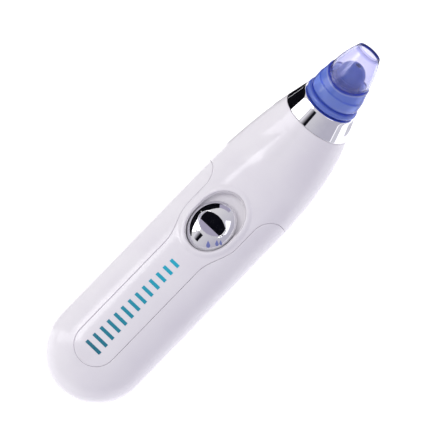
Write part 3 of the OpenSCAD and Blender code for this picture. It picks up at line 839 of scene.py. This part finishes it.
def rear_piece():
    patch = SkinPatch(skin_stations(), 168)
    patch.keep(cover_field, 0.0, positive=False)
    patch.keep(parting_field, -JOIN_GAP, positive=False)
    patch.keep(collar_field, JOIN_GAP)
    patch.keep(screw_hole_field, 0.0)
    patch.keep(slot_field, 0.0)
    for level in (0.1, 0.3):
        patch.split(screw_hole_field, level)
        patch.split(slot_field, level)
        patch.split(cover_field, -level)
        patch.split(parting_field, -JOIN_GAP - level)
        patch.split(collar_field, JOIN_GAP + level)

    def lower(p, v):
        drop = edge_drop(-cover_field(p, v))
        drop = np.maximum(drop, edge_drop(-JOIN_GAP - parting_field(p, v), 0.2))
        drop = np.maximum(drop, edge_drop(collar_field(p, v) - JOIN_GAP, 0.15))
        drop = np.maximum(drop, edge_drop(screw_hole_field(p, v), 0.25))
        return np.maximum(drop, edge_drop(slot_field(p, v), 0.25))

    points, faces = shell_mesh(patch, lower)
    return make_object("rear_shell_skin", points, faces, WHITE)


def screw_wells():
    """Tubes that line the two screw holes of the rear moulding down to the screw seats."""
    top, foot = BOSS_SEAT_Z + 0.05, -17.2
    profile = rounded([(BOSS_R, top), (2.9, top), (2.9, foot), (BOSS_R, foot)], 0.1, 2)
    th = np.linspace(0, 2 * math.pi, 40, endpoint=False)
    points, faces = [], []
    for side in (-1, 1):
        rings = [
            np.stack([BOSS_X + r * np.cos(th), side * BOSS_Y + r * np.sin(th), z + 0 * th], 1)
            for r, z in profile
        ]
        pts, loops = lofted(rings)
        base = sum(len(q) for q in points)
        points.append(pts)
        faces += [[k + base for k in loop] for loop in loops]
    return recalculated(make_object("screw_wells", np.vstack(points), faces, WELL_WHITE))


# ---------------------------------------------------------------- switch
WELL_FILLET = 0.25
WELL_ANGLES = np.linspace(0, 2 * math.pi, 144, endpoint=False) + 1e-4


def recess_ring(grow, z):
    """The recess's outline grown outwards, at a height or at a height worked out from y."""
    th = WELL_ANGLES
    x = WELL_X + np.sign(np.cos(th)) * KNOB_TRAVEL / 2 + (WELL_A + grow) * np.cos(th)
    y = (WELL_B + grow) * np.sin(th)
    return np.stack([x, y, z(y) if callable(z) else z + 0 * x], 1)


def slot_ring(z, half_x=7.5, half_y=2.3):
    """Rounded outline of the slot in the recess's floor."""
    c, s = np.cos(WELL_ANGLES), np.sin(WELL_ANGLES)
    x = WELL_X - 0.5 + half_x * np.sign(c) * np.abs(c) ** 0.3
    return np.stack([x, half_y * np.sign(s) * np.abs(s) ** 0.3, z + 0 * x], 1)


def well_piece():
    """Oval tray with a rounded rim and a filleted floor that holds the slider's slot."""

    def rim(drop):
        return lambda y: front_height(y) + 0.05 - drop

    lip = [(-0.05, 0.3), (-0.1, 0.14), (-0.2, 0.05), (-0.3, 0.14), (-WELL_WALL, 0.36)]
    rings = [recess_ring(-0.05, FLOOR_Z - 1)]
    rings += [recess_ring(out, rim(drop)) for out, drop in lip]
    for k in range(5):
        a = k * math.pi / 8
        out = -WELL_WALL - WELL_FILLET * (1 - math.cos(a))
        rings.append(recess_ring(out, FLOOR_Z + WELL_FILLET * (1 - math.sin(a))))
    outer, inner = recess_ring(-WELL_WALL - 0.3, FLOOR_Z), slot_ring(FLOOR_Z, 7.7, 2.5)
    rings += [outer + (inner - outer) * t for t in (0.0, 0.33, 0.66, 1.0)]
    rings += [slot_ring(FLOOR_Z - 0.12), slot_ring(FLOOR_Z - 1)]
    points, faces = lofted(rings)
    return recalculated(make_object("switch_well_skin", points, faces, WELL_WHITE))


SCOOP_FLOOR = 0.86


def scoop_reach(x, y):
    """Share of the way from the scoop's middle to its oval rim."""
    return np.hypot((x - 0.6) / 5.6, y / 6.7)


def scoop_floor_field(p, over):
    return np.where(over > 0, scoop_reach(p[:, 0] - KNOB_X, p[:, 1]) - SCOOP_FLOOR, FAR_OFF)


def crease_field(p, over):
    return np.where(over > 0, p[:, 0] - KNOB_X - SCOOP_X, FAR_OFF)


def knob_surface(u, th):
    """Slider's skin: a dome over an upright band, with the finger scoop's two faces cut in."""
    inner = np.clip(u, 0, 1) * math.pi / 2
    x, y = KNOB_A * np.sin(inner) * np.cos(th), -KNOB_B * np.sin(inner) * np.sin(th)
    dome = 1 + (KNOB_H - 1) * np.cos(inner)
    front = SCOOP_Z + SCOOP_FRONT * (x - SCOOP_X) + 0.008 * (x - SCOOP_X) ** 2
    cut = np.where(x > SCOOP_X, front, SCOOP_Z - SCOOP_BACK * (x - SCOOP_X))
    cut = cut + 60 * np.clip(scoop_reach(x, y) - SCOOP_FLOOR, 0, None) ** 2
    over = dome - cut
    low = 0.5 * (dome + cut - np.sqrt(over**2 + 0.01))
    z = np.where(u > 1, 1 - (u - 1), np.where(over > -1.5, low, dome))
    return np.stack([KNOB_X + x, y, KNOB_Z + z], -1), over


def knob_piece():
    """Domed slider, closed by one flat face underneath."""
    bands = [np.linspace(0, 0.86, 34), np.linspace(0.86, 1, 12)[1:], [1.06, 1.3, 1.7, 1.92, 2.0]]
    patch = SkinPatch(np.concatenate(bands), 160, knob_surface)
    for level in (-0.35, -0.18, -0.08, 0.0, 0.08, 0.18, 0.35):
        patch.split(lambda p, over: over, level)
    for level in (0.0, 0.03, 0.07):
        patch.split(scoop_floor_field, level)
    patch.split(crease_field, 0.0)
    p, _, faces = patch.compact()
    points, faces = welded(p, faces)
    edges = loop_edges(faces)
    rim = {a: b for b, a in edges if (a, b) not in edges}
    start = next(iter(rim))
    bottom, k = [start], rim[start]
    while k != start:
        bottom.append(k)
        k = rim[k]
    faces.append(bottom)
    return make_object("slider_chrome", points, faces, CHROME, sharp=16.0)


# ---------------------------------------------------------------- head pieces
def head_object(name, rings, material, sharp):
    points, faces = lofted(rings)
    return recalculated(make_object(name, from_head(points), faces, material, sharp))


def circle_ring(rx, ry, w, around):
    return np.stack([rx * np.cos(around), ry * np.sin(around), w + 0 * around], 1)


def collar_piece():
    """Tapered ring whose lower edge leans with the neck, rolled in at the top over the seat."""
    th = np.linspace(0, 2 * math.pi, 160, endpoint=False)
    lean = math.tan(COLLAR_SKEW)
    low_r = NECK_R / (1 - CONE_SLOPE * np.cos(th) * lean)
    low_w = COLLAR_W - low_r * np.cos(th) * lean + 0.06

    def ring(share, inset, lift=0.0):
        w = low_w + (COLLAR_TOP_W - 0.35 - low_w) * share + lift
        r = NECK_R - CONE_SLOPE * (w - COLLAR_W) - inset
        return np.stack([r * np.cos(th), r * np.sin(th), w], 1)

    rings = [ring(0, 0.14), ring(0, 0.04, 0.04), ring(0, 0.0, 0.14)]
    rings += [ring(t, 0) for t in np.linspace(0.04, 0.97, 12)]
    lip = [(COLLAR_TOP_R - 0.13, COLLAR_TOP_W - 0.45), (COLLAR_TOP_R - 0.36, COLLAR_TOP_W)]
    lip.append((11.0, COLLAR_TOP_W))
    top = rounded(lip, 0.25, 4)[5:10]
    rings += [circle_ring(r, r, w, th) for r, w in top]
    inner = [(SPIGOT_R + 0.6, COLLAR_TOP_W), (SPIGOT_R + 0.45, COLLAR_TOP_W - 0.15)]
    inner += [(SPIGOT_R + 0.45, -3.5), (COLLAR_TOP_R - 1.4, -3.5)]
    rings += [circle_ring(r, r, w, th) for r, w in inner]
    rings += [ring(0.5, 1.3), ring(0, 1.3)]
    return head_object("chrome_collar_ring", rings, CHROME, 35.0)


def tip_size(w):
    """Half width and half height of the tip at a height."""
    t = np.clip((w - SHOULDER_W) / (MOUTH_W - SHOULDER_W), 0, 1)
    return TIP_R - (TIP_R - MOUTH_B) * t**1.25, TIP_R - (TIP_R - MOUTH_A) * t**1.6


BAND_TONE, TIP_TONE, RIM_SHADE_TONES = 5.0, 26.0, 3.0


def cup_piece():
    """Push-on cup: rounded flange, stepped band, dipped shoulder and a tip that ends in an oval mouth."""
    th = np.linspace(0, 2 * math.pi, 144, endpoint=False)
    dip = SHOULDER_DIP * np.cos(th) ** 2
    rings, tones = [], []

    def add(rx, ry, w, share=0.0, tone=None):
        ring = circle_ring(rx, ry, w, th)
        ring[:, 2] -= share * dip
        rings.append(ring)
        tones.append((w if tone is None else tone) + 0 * th)

    flange_r = CUP_R - FLANGE_ROUND
    for r in (CUP_BORE_R + 0.25, flange_r):
        add(r, r, FLANGE_W)
    for k in range(1, 11):
        a = k * math.pi / 10
        r = flange_r + FLANGE_ROUND * math.sin(a)
        add(r, r, FLANGE_W + FLANGE_ROUND * (1 - math.cos(a)))
    band = [(1.42, 2.15), (1.2, 2.5), (0.95, 2.75), (0.8, 3.1)]
    band += [(0.85, 5.0), (0.95, 7.0), (1.0, 7.5), (1.15, 7.7)]
    for inset, w in band:
        add(CUP_R - inset, CUP_R - inset, w)
    rise = [(CUP_R - 1.3, 8.0, 0.1), (CUP_R - 1.45, 9.2, 0.3), (SHOULDER_R + 0.28, 10.8, 0.6)]
    rise += [(SHOULDER_R + 0.05, 12.4, 0.9), (SHOULDER_R - 0.02, 13.2, 1), (SHOULDER_R - 0.12, 13.6, 1)]
    rise += [(SHOULDER_R - 0.35, 13.82, 1), (TIP_R + 0.25, 13.85, 1), (TIP_R + 0.12, 13.95, 1)]
    for r, w, share in rise:
        add(r, r, w, share)
    for t in np.linspace(0.03, 0.93, 18):
        w = SHOULDER_W + (MOUTH_W - SHOULDER_W) * t
        a, b = tip_size(w)
        add(a, b, w + 0.15, (1 - t) ** 3, max(w, CLEAR_TONE))
    a, b = tip_size(MOUTH_W)
    # painted shade: round the mouth rim the tone runs into the dark stops on one side and stays pale on
    # the other
    shaded_rim_tone = TIP_TONE + RIM_SHADE_TONES * smooth(0.5 + 1.2 * np.cos(th))
    lip = [(0.1, 0.75), (0.22, 0.5), (0.24, 0.25), (0.12, 0.06), (-0.12, 0.0), (-0.5, 0.08), (-0.75, 0.35)]
    for out, drop in lip:
        add(a + out, b + out, MOUTH_W - drop, 0.0, shaded_rim_tone)
    for t in np.linspace(0.95, 0.0, 18):
        w = SHOULDER_W + (MOUTH_W - SHOULDER_W) * t
        a, b = tip_size(w)
        add(a - TIP_WALL, b - TIP_WALL, w, 0.0, shaded_rim_tone if t > 0.93 else TIP_TONE)
    root_r = TIP_R - TIP_WALL
    inside = [(root_r, 11.2), (root_r, 10.9), (CUP_BORE_R - 0.2, 10.6), (CUP_BORE_R, 10.4)]
    inside += [(CUP_BORE_R, w) for w in np.linspace(8.0, FLANGE_W + 0.25, 6)]
    for r, w in inside:
        add(r, r, w, 0.0, BAND_TONE)
    cup = head_object("suction_cup_clear", rings, BLUE_CLEAR, 50.0)
    stored = cup.data.attributes.new("tone", "FLOAT", "POINT")
    stored.data.foreach_set("value", np.concatenate(tones))
    return cup


def dome_piece():
    """Stepped nozzle under the cup: two rings, a short drum and a hollow dome with a centre hole."""
    inner_r = DOME_R - DOME_WALL
    profile = [(SPIGOT_R - 0.25, 8.6), (SPIGOT_R, 8.85), (SPIGOT_R, 9.7), (SPIGOT_R - 0.25, 9.95)]
    profile += [(7.35, 9.97), (7.2, 10.1), (7.2, 11.1), (7.0, 11.28), (6.5, 11.3), (6.25, 11.5)]
    profile += [(DOME_R, 11.9), (DOME_R, 13.1), (6.42, 13.25), (6.42, 13.6), (DOME_R, 13.75)]
    profile.append((DOME_R, DOME_W))
    arc = [k * math.pi / 40 for k in range(1, 17)]
    profile += [(DOME_R * math.cos(a), DOME_W + DOME_R * math.sin(a)) for a in arc]
    profile += [(1.5, 20.42), (1.22, 20.3), (1.2, 19.8), (1.3, 19.5)]
    profile += [(inner_r * math.cos(a), DOME_W + inner_r * math.sin(a)) for a in reversed(arc[:-1])]
    profile += [(inner_r, 14.2), (inner_r, 10.0), (inner_r, 8.6)]
    th = np.linspace(0, 2 * math.pi, 112, endpoint=False)
    rings = [circle_ring(r, r, w, th) for r, w in profile]
    return head_object("inner_dome_clear", rings, DOME_BLUE, 50.0)


# ---------------------------------------------------------------- geometry nodes
def node_tree(name, sizes):
    """A geometry tree with one named number input for each size."""
    tree = bpy.data.node_groups.new(name, "GeometryNodeTree")
    tree.interface.new_socket("Geometry", in_out="OUTPUT", socket_type="NodeSocketGeometry")
    tree.interface.new_socket("Geometry", in_out="INPUT", socket_type="NodeSocketGeometry")
    for key, value in sizes.items():
        kind = "NodeSocketInt" if isinstance(value, int) else "NodeSocketFloat"
        socket = tree.interface.new_socket(key, in_out="INPUT", socket_type=kind)
        socket.default_value = value
    source = tree.nodes.new("NodeGroupInput").outputs
    return tree, source


def grow(tree, kind, inputs=None, **settings):
    """Adds a geometry node and gives back its first output."""
    return add_node(tree, "GeometryNode" + kind, inputs, **settings).outputs[0]


def maths(tree, operation, *values):
    return add_node(tree, "ShaderNodeMath", dict(enumerate(values)), operation=operation).outputs[0]


def vector(tree, **parts):
    return add_node(tree, "ShaderNodeCombineXYZ", parts).outputs[0]


def joined(tree, *parts):
    """Several geometries as one."""
    whole = add_node(tree, "GeometryNodeJoinGeometry")
    for part in parts:
        tree.links.new(part, whole.inputs[0])
    return whole.outputs[0]


def grown(name, tree, last, sizes, material, places=None):
    """Runs a tree on a point cloud and returns the result as a plain mesh object."""
    solid = grow(tree, "RealizeInstances", {"Geometry": last})
    coloured = grow(tree, "SetMaterial", {"Geometry": solid, "Material": material})
    add_node(tree, "NodeGroupOutput", {0: coloured})
    places = places or [((0, 0, 0), (0, 0, 1))]
    seed_mesh = bpy.data.meshes.new(name + "_points")
    seed_mesh.from_pydata([tuple(p) for p, _ in places], [], [])
    facing = seed_mesh.attributes.new("facing", "FLOAT_VECTOR", "POINT")
    facing.data.foreach_set("vector", [c for _, way in places for c in way])
    holder = bpy.data.objects.new(name, seed_mesh)
    bpy.context.collection.objects.link(holder)
    modifier = holder.modifiers.new("build", "NODES")
    modifier.node_group = tree
    for item in tree.interface.items_tree:
        if item.in_out == "INPUT" and item.name in sizes:
            modifier[item.identifier] = sizes[item.name]
    bpy.context.view_layer.update()
    evaluated = holder.evaluated_get(bpy.context.evaluated_depsgraph_get())
    mesh = bpy.data.meshes.new_from_object(evaluated)
    bpy.data.objects.remove(holder)
    mesh.name = name
    result = bpy.data.objects.new(name, mesh)
    bpy.context.collection.objects.link(result)
    if not mesh.materials:
        mesh.materials.append(material)
    mesh.shade_smooth()
    mesh.set_sharp_from_angle(angle=math.radians(35))
    return result


def tongue_height(tree, lift):
    """Height of the switch face over each vertex, worked out as skin() does, and a little lift."""
    place = add_node(tree, "ShaderNodeSeparateXYZ", {0: grow(tree, "InputPosition")})
    share = maths(tree, "DIVIDE", maths(tree, "ABSOLUTE", place.outputs["Y"]), BODY_W / 2 * MM)
    fall = maths(tree, "SUBTRACT", 1.0, maths(tree, "POWER", share, SQUARE))
    fall = maths(tree, "POWER", fall, 1 / SQUARE)
    reach = maths(tree, "SUBTRACT", (TAIL_LEN + TAIL_X) * MM, place.outputs["X"])
    reach = maths(tree, "MAXIMUM", maths(tree, "DIVIDE", reach, TAIL_LEN * MM), 0.0)
    crown = maths(tree, "SQRT", maths(tree, "SUBTRACT", 1.0, maths(tree, "MULTIPLY", reach, reach)))
    height = maths(tree, "MULTIPLY", maths(tree, "MULTIPLY", fall, crown), FRONT_H * MM)
    return maths(tree, "ADD", maths(tree, "ADD", height, REST_Z * MM), lift)


def print_bars():
    """Graduated printed bars that lie on the crowned tongue."""
    sizes = {
        "Bars": 13, "Pitch": 4.0 * MM, "Bar Length": 1.5 * MM, "Half Width": 3.9 * MM,
        "Narrowing": 0.14 * MM, "Thickness": 0.07 * MM, "Lift": 0.015 * MM,
    }
    tree, source = node_tree("printed_bars", sizes)
    step = vector(tree, X=source["Pitch"])
    start = vector(tree, X=(TAIL_X + FIRST_BAR_X) * MM)
    line = grow(tree, "MeshLine", {"Count": source["Bars"], "Offset": step, "Start Location": start})
    narrower = maths(tree, "MULTIPLY", source["Narrowing"], grow(tree, "InputIndex"))
    half = maths(tree, "SUBTRACT", source["Half Width"], narrower)
    size = vector(tree, X=source["Bar Length"], Y=maths(tree, "MULTIPLY", half, 2.0), Z=1.0)
    tile = grow(tree, "MeshGrid", {"Size X": 1.0, "Size Y": 1.0, "Vertices X": 3, "Vertices Y": 25})
    bars = grow(tree, "InstanceOnPoints", {"Points": line, "Instance": tile, "Scale": size})
    flat = grow(tree, "RealizeInstances", {"Geometry": bars})
    raised = vector(tree, Z=tongue_height(tree, source["Lift"]))
    laid = grow(tree, "SetPosition", {"Geometry": flat, "Offset": raised})
    thickness = {"Mesh": laid, "Offset Scale": source["Thickness"], "Individual": False}
    both = joined(tree, grow(tree, "ExtrudeMesh", thickness), grow(tree, "FlipFaces", {"Mesh": laid}))
    closed = grow(tree, "MergeByDistance", {"Geometry": both, "Distance": 0.002 * MM})
    return grown("teal_print_bars", tree, closed, sizes, TEAL)


def turned_points(tree, source, shape):
    """Copies a shape onto the points, each turned by the point's own stored direction."""
    stored = grow(tree, "InputNamedAttribute", {"Name": "facing"}, data_type="FLOAT_VECTOR")
    turn = add_node(tree, "FunctionNodeAlignRotationToVector", {"Vector": stored}, axis="Z")
    inputs = {"Points": source["Geometry"], "Instance": shape, "Rotation": turn.outputs[0]}
    return grow(tree, "InstanceOnPoints", inputs)


def screw_head(tree, source):
    """Domed head with a cross cut into it."""
    radius, height = source["Head Radius"], source["Head Height"]
    drum = {"Vertices": 32, "Side Segments": 1, "Radius": radius, "Depth": height}
    middle = vector(tree, Z=maths(tree, "MULTIPLY", height, 0.5))
    drum = grow(tree, "Transform", {"Geometry": grow(tree, "MeshCylinder", drum), "Translation": middle})
    ball = grow(tree, "MeshUVSphere", {"Segments": 32, "Rings": 16, "Radius": 1.0})
    ball = grow(tree, "Transform", {"Geometry": ball, "Scale": vector(tree, X=radius, Y=radius, Z=height)})
    dome = add_node(tree, "GeometryNodeMeshBoolean", {0: drum, 1: ball}, operation="INTERSECT")
    tree.links.new(drum, dome.inputs[1])
    reach = maths(tree, "MULTIPLY", radius, 1.3)
    arm = grow(tree, "MeshCube", {"Size": vector(tree, X=reach, Y=source["Slot Width"], Z=height)})
    up = vector(tree, Z=height)
    cross = [
        grow(tree, "Transform", {"Geometry": arm, "Translation": up, "Rotation": (0, 0, turn)})
        for turn in (0.0, math.pi / 2)
    ]
    return grow(tree, "MeshBoolean", {0: dome.outputs[0], 1: joined(tree, *cross)}, operation="DIFFERENCE")


def screw_shank(tree, source):
    """Rod and helical thread below the head; the thread stops short of both ends."""
    length, radius, pitch = (source[key] for key in ("Shank Length", "Shank Radius", "Thread Pitch"))
    end = 0.4 * MM
    rod = grow(tree, "MeshCylinder", {"Vertices": 24, "Radius": radius, "Depth": length})
    middle = vector(tree, Z=maths(tree, "MULTIPLY", length, -0.5))
    rod = grow(tree, "Transform", {"Geometry": rod, "Translation": middle})
    threaded = maths(tree, "SUBTRACT", length, 2 * end)
    helix = grow(tree, "CurveSpiral", {
        "Resolution": 16, "Rotations": maths(tree, "DIVIDE", threaded, pitch),
        "Start Radius": radius, "End Radius": radius, "Height": threaded,
    })
    ridge = {"Resolution": 5, "Radius": maths(tree, "MULTIPLY", pitch, 0.2)}
    ridge = grow(tree, "CurvePrimitiveCircle", ridge)
    thread = grow(tree, "CurveToMesh", {"Curve": helix, "Profile Curve": ridge, "Fill Caps": True})
    foot = vector(tree, Z=maths(tree, "MULTIPLY", maths(tree, "SUBTRACT", length, end), -1.0))
    return rod, grow(tree, "Transform", {"Geometry": thread, "Translation": foot})


def screw_group(name, sizes, places):
    """Cross-head screws, one on each place, their heads facing the way each place says."""
    tree, source = node_tree(name, sizes)
    whole = joined(tree, screw_head(tree, source), *screw_shank(tree, source))
    return grown(name, tree, turned_points(tree, source, whole), sizes, STEEL, places)


def springs_piece():
    """Conical contact springs, one for each cell's flat end."""
    sizes = {
        "Turns": 3.6, "Wide Radius": 5.0 * MM, "Narrow Radius": 2.9 * MM,
        "Height": 1.6 * MM, "Wire Radius": 0.22 * MM,
    }
    tree, source = node_tree("contact_springs", sizes)
    coil = grow(tree, "CurveSpiral", {
        "Resolution": 40, "Rotations": source["Turns"], "Start Radius": source["Wide Radius"],
        "End Radius": source["Narrow Radius"], "Height": source["Height"],
    })
    wire = grow(tree, "CurvePrimitiveCircle", {"Resolution": 10, "Radius": source["Wire Radius"]})
    spring = grow(tree, "CurveToMesh", {"Curve": coil, "Profile Curve": wire, "Fill Caps": True})
    low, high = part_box("contact_plates")
    mid_z = (low.z + high.z) / 2
    pitch, inset = CELL_PITCH * MM, SPRING_INSET * MM
    places = []
    for sy, sz in ((-1, -1), (-1, 1), (1, -1), (1, 1)):
        way = sy * sz
        x = low.x + inset if way > 0 else high.x - inset
        places.append(((x, sy * pitch, mid_z + sz * pitch), (way, 0, 0)))
    return grown("contact_springs", tree, turned_points(tree, source, spring), sizes, STEEL, places)


def screw_sizes(shank_r, shank_l, head_r, head_h):
    return {
        "Head Radius": head_r * MM, "Head Height": head_h * MM, "Shank Radius": shank_r * MM,
        "Shank Length": shank_l * MM, "Slot Width": 0.45 * MM, "Thread Pitch": 0.6 * MM,
    }


def screw_pieces():
    """Each group of screws with the CAD node it takes the place of."""
    backwards, headwards = (0, 0, -1), (1, 0, 0)
    tray_x, tray_y, tray_z = TRAY_BOSS
    housing = [(placed([BOSS_X, side * BOSS_Y, BOSS_SEAT_Z]), backwards) for side in (-1, 1)]
    tray = [(placed([tray_x, side * tray_y, tray_z]), backwards) for side in (-1, 1)]
    pump = []
    for k in range(4):
        a = math.radians(45 + 90 * k)
        y, z = PUMP_SCREW_R * math.sin(a), PUMP_Z - PUMP_SCREW_R * math.cos(a)
        pump.append((placed([PUMP_SCREW_X, y, z]), headwards))
    groups = [
        ("housing_screws", housing, screw_sizes(0.82, 12, 1.9, 1.4)),
        ("tray_screws", tray, screw_sizes(0.72, 5.5, 1.7, 1.1)),
        ("pump_screws", pump, screw_sizes(0.85, 15.4, 1.6, 1.1)),
    ]
    return [(screw_group(node + "_cross", sizes, places), node) for node, places, sizes in groups]


# ---------------------------------------------------------------- the assembled looks
def fit(piece, body, slot, *nodes):
    """Puts a piece on its body and hides the CAD nodes it takes the place of. The slot argument is not
    used.
    """
    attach(piece, body)
    if nodes:
        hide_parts(*nodes)


fit(front_piece(), "housing", "white_plastic", "front_shell")
fit(rear_piece(), "housing", "white_plastic", "rear_shell")
fit(cover_piece(), "cover", "white_plastic", "battery_cover")
fit(screw_wells(), "housing", "white_plastic")
fit(well_piece(), "housing", "white_plastic", "switch_well")
fit(knob_piece(), "slider", "chrome", "switch_knob")
fit(collar_piece(), "housing", "chrome", "chrome_collar")
fit(cup_piece(), "cup", "blue_clear", "suction_cup")
fit(dome_piece(), "housing", "dome_blue", "inner_dome")
fit(print_bars(), "housing", "teal_print", "panel_print")
fit(springs_piece(), "housing", "steel", "battery_springs")
for screws, node in screw_pieces():
    fit(screws, "housing", "steel", node)


# ---------------------------------------------------------------- floor and light
def flat_sheet(name, centre, towards, width, height, material):
    """A rectangle that faces a point, in frame millimetres."""
    centre, towards = Vector(centre) * MM, Vector(towards) * MM
    out = (towards - centre).normalized()
    side = out.cross(Vector((0, 0, 1)) if abs(out.z) < 0.99 else Vector((1, 0, 0))).normalized()
    up = side.cross(out)
    corners = [
        centre + side * (i * width / 2 * MM) + up * (j * height / 2 * MM)
        for i, j in ((-1, -1), (1, -1), (1, 1), (-1, 1))
    ]
    obj = make_object(name, [tuple(c) for c in corners], [[0, 1, 2, 3]], material, to_frame=False)
    return obj


def reflected_card(*sheet):
    """A sheet that only shows in reflections."""
    card = flat_sheet(*sheet)
    card.visible_camera = False
    card.visible_diffuse = False
    card.visible_shadow = False
    card.visible_transmission = False
    card.visible_volume_scatter = False
    return card


def card_material(name, base, glow, strength):
    material, _, shader, _ = new_material(name)
    fill(shader, {
        "Base Color": (*base, 1),
        "Roughness": 1.0,
        "Specular IOR Level": 0.0,
        "Emission Color": (*glow, 1),
        "Emission Strength": strength,
    })
    return material


def fading_material(name, dark_y, white_y):
    """Card that runs from black to white across the hand piece."""
    material = card_material(name, UNLIT, UNLIT, 1.0)
    tree = material.node_tree
    share = between(tree, place_along(tree, "Y"), 0.0, 1.0, dark_y * MM, white_y * MM)
    shade = tint(tree, share, (0.003, 0.003, 0.006), (0.8, 0.78, 0.84), 0.0, 1.0)
    fill(tree.nodes["Principled BSDF"], {"Emission Color": shade})
    return material


UNLIT, BLACK, WHITE_PAPER = (0, 0, 0), (0.004, 0.004, 0.006), (1.0, 0.99, 1.0)
KNOB_AT, HEAD_AT = (0, 0, 37), (75, 0, 40)


def place_cards():
    """Cards that the chrome and the clear parts mirror."""
    black = card_material("black_card", BLACK, BLACK, 0.0)
    white = card_material("white_card", WHITE_PAPER, WHITE_PAPER, 1.3)
    grey = card_material("grey_card", UNLIT, (0.66, 0.65, 0.72), 1.0)
    lilac = card_material("lilac_card", UNLIT, (0.4, 0.37, 0.49), 1.0)
    fading = fading_material("fading_card", 84, 190)
    reflected_card("dark_card_side", (35, 60, 26), (35, 0, 26), 210, 52, black)
    reflected_card("dark_card_tail", (-41, 60, 38), (-41, 0, 38), 98, 76, black)
    reflected_card("dark_card_knob", (20, 32, 50), (0, 0, 39), 34, 22, black)
    reflected_card("dark_card_low", (81, 36, 0.8), (81, 36, 9), 42, 48, black)
    reflected_card("dark_card_far", (49, 43, 0.7), (49, 43, 9), 24, 34, black)
    reflected_card("grey_card_head", (80, -5, 0.7), (80, -5, 9), 84, 14, grey)
    reflected_card("lilac_card_head", (125, 50, 88), KNOB_AT, 130, 64, lilac)
    reflected_card("white_card_left", (-150, 389, 259), HEAD_AT, 300, 330, white)
    reflected_card("dark_card_high", (-251, 112, 344), (-31, 112, 16), 176, 225, fading)
    shade_below = reflected_card("grey_card_low", (85, -331, 0.8), (85, -331, 9), 400, 638, grey)
    shade_below.visible_diffuse = True


def build_sky():
    """Sky that is lilac grey on one side and near white on the other."""
    world = bpy.data.worlds.new("studio")
    bpy.context.scene.world = world
    world.use_nodes = True
    tree = world.node_tree
    generated = add_node(tree, "ShaderNodeTexCoord").outputs["Generated"]
    way = add_node(tree, "ShaderNodeSeparateXYZ", {0: generated})
    share = between(tree, way.outputs["Y"], 0.0, 1.0, -0.8, 0.8)
    colour = tint(tree, share, (0.62, 0.6, 0.71), (1.0, 0.985, 0.99), 0.0, 1.0)
    fill(tree.nodes["Background"], {"Color": colour, "Strength": 0.8})


def area_light(name, place, aim, size, power, colour=(1, 1, 1)):
    data = bpy.data.lights.new(name, "AREA")
    data.shape = "RECTANGLE"
    data.size, data.size_y = size[0] * MM, size[1] * MM
    data.energy = power
    data.color = colour
    light = bpy.data.objects.new(name, data)
    bpy.context.collection.objects.link(light)
    light.location = Vector(place) * MM
    light.rotation_euler = (Vector(place) - Vector(aim)).to_track_quat("Z", "Y").to_euler()


def build_studio():
    flat_sheet("floor", (0, 0, 0), (0, 0, 10), 4000, 4000, bright_floor())
    place_cards()
    build_sky()
    area_light("soft_key", (-120, 420, 620), (10, 0, 30), (360, 260), 1.2)
    area_light("soft_fill", (260, -380, 520), (10, 0, 30), (420, 300), 0.3, (0.96, 0.95, 1.0))
    bpy.context.scene.view_settings.view_transform = "Standard"


build_studio()
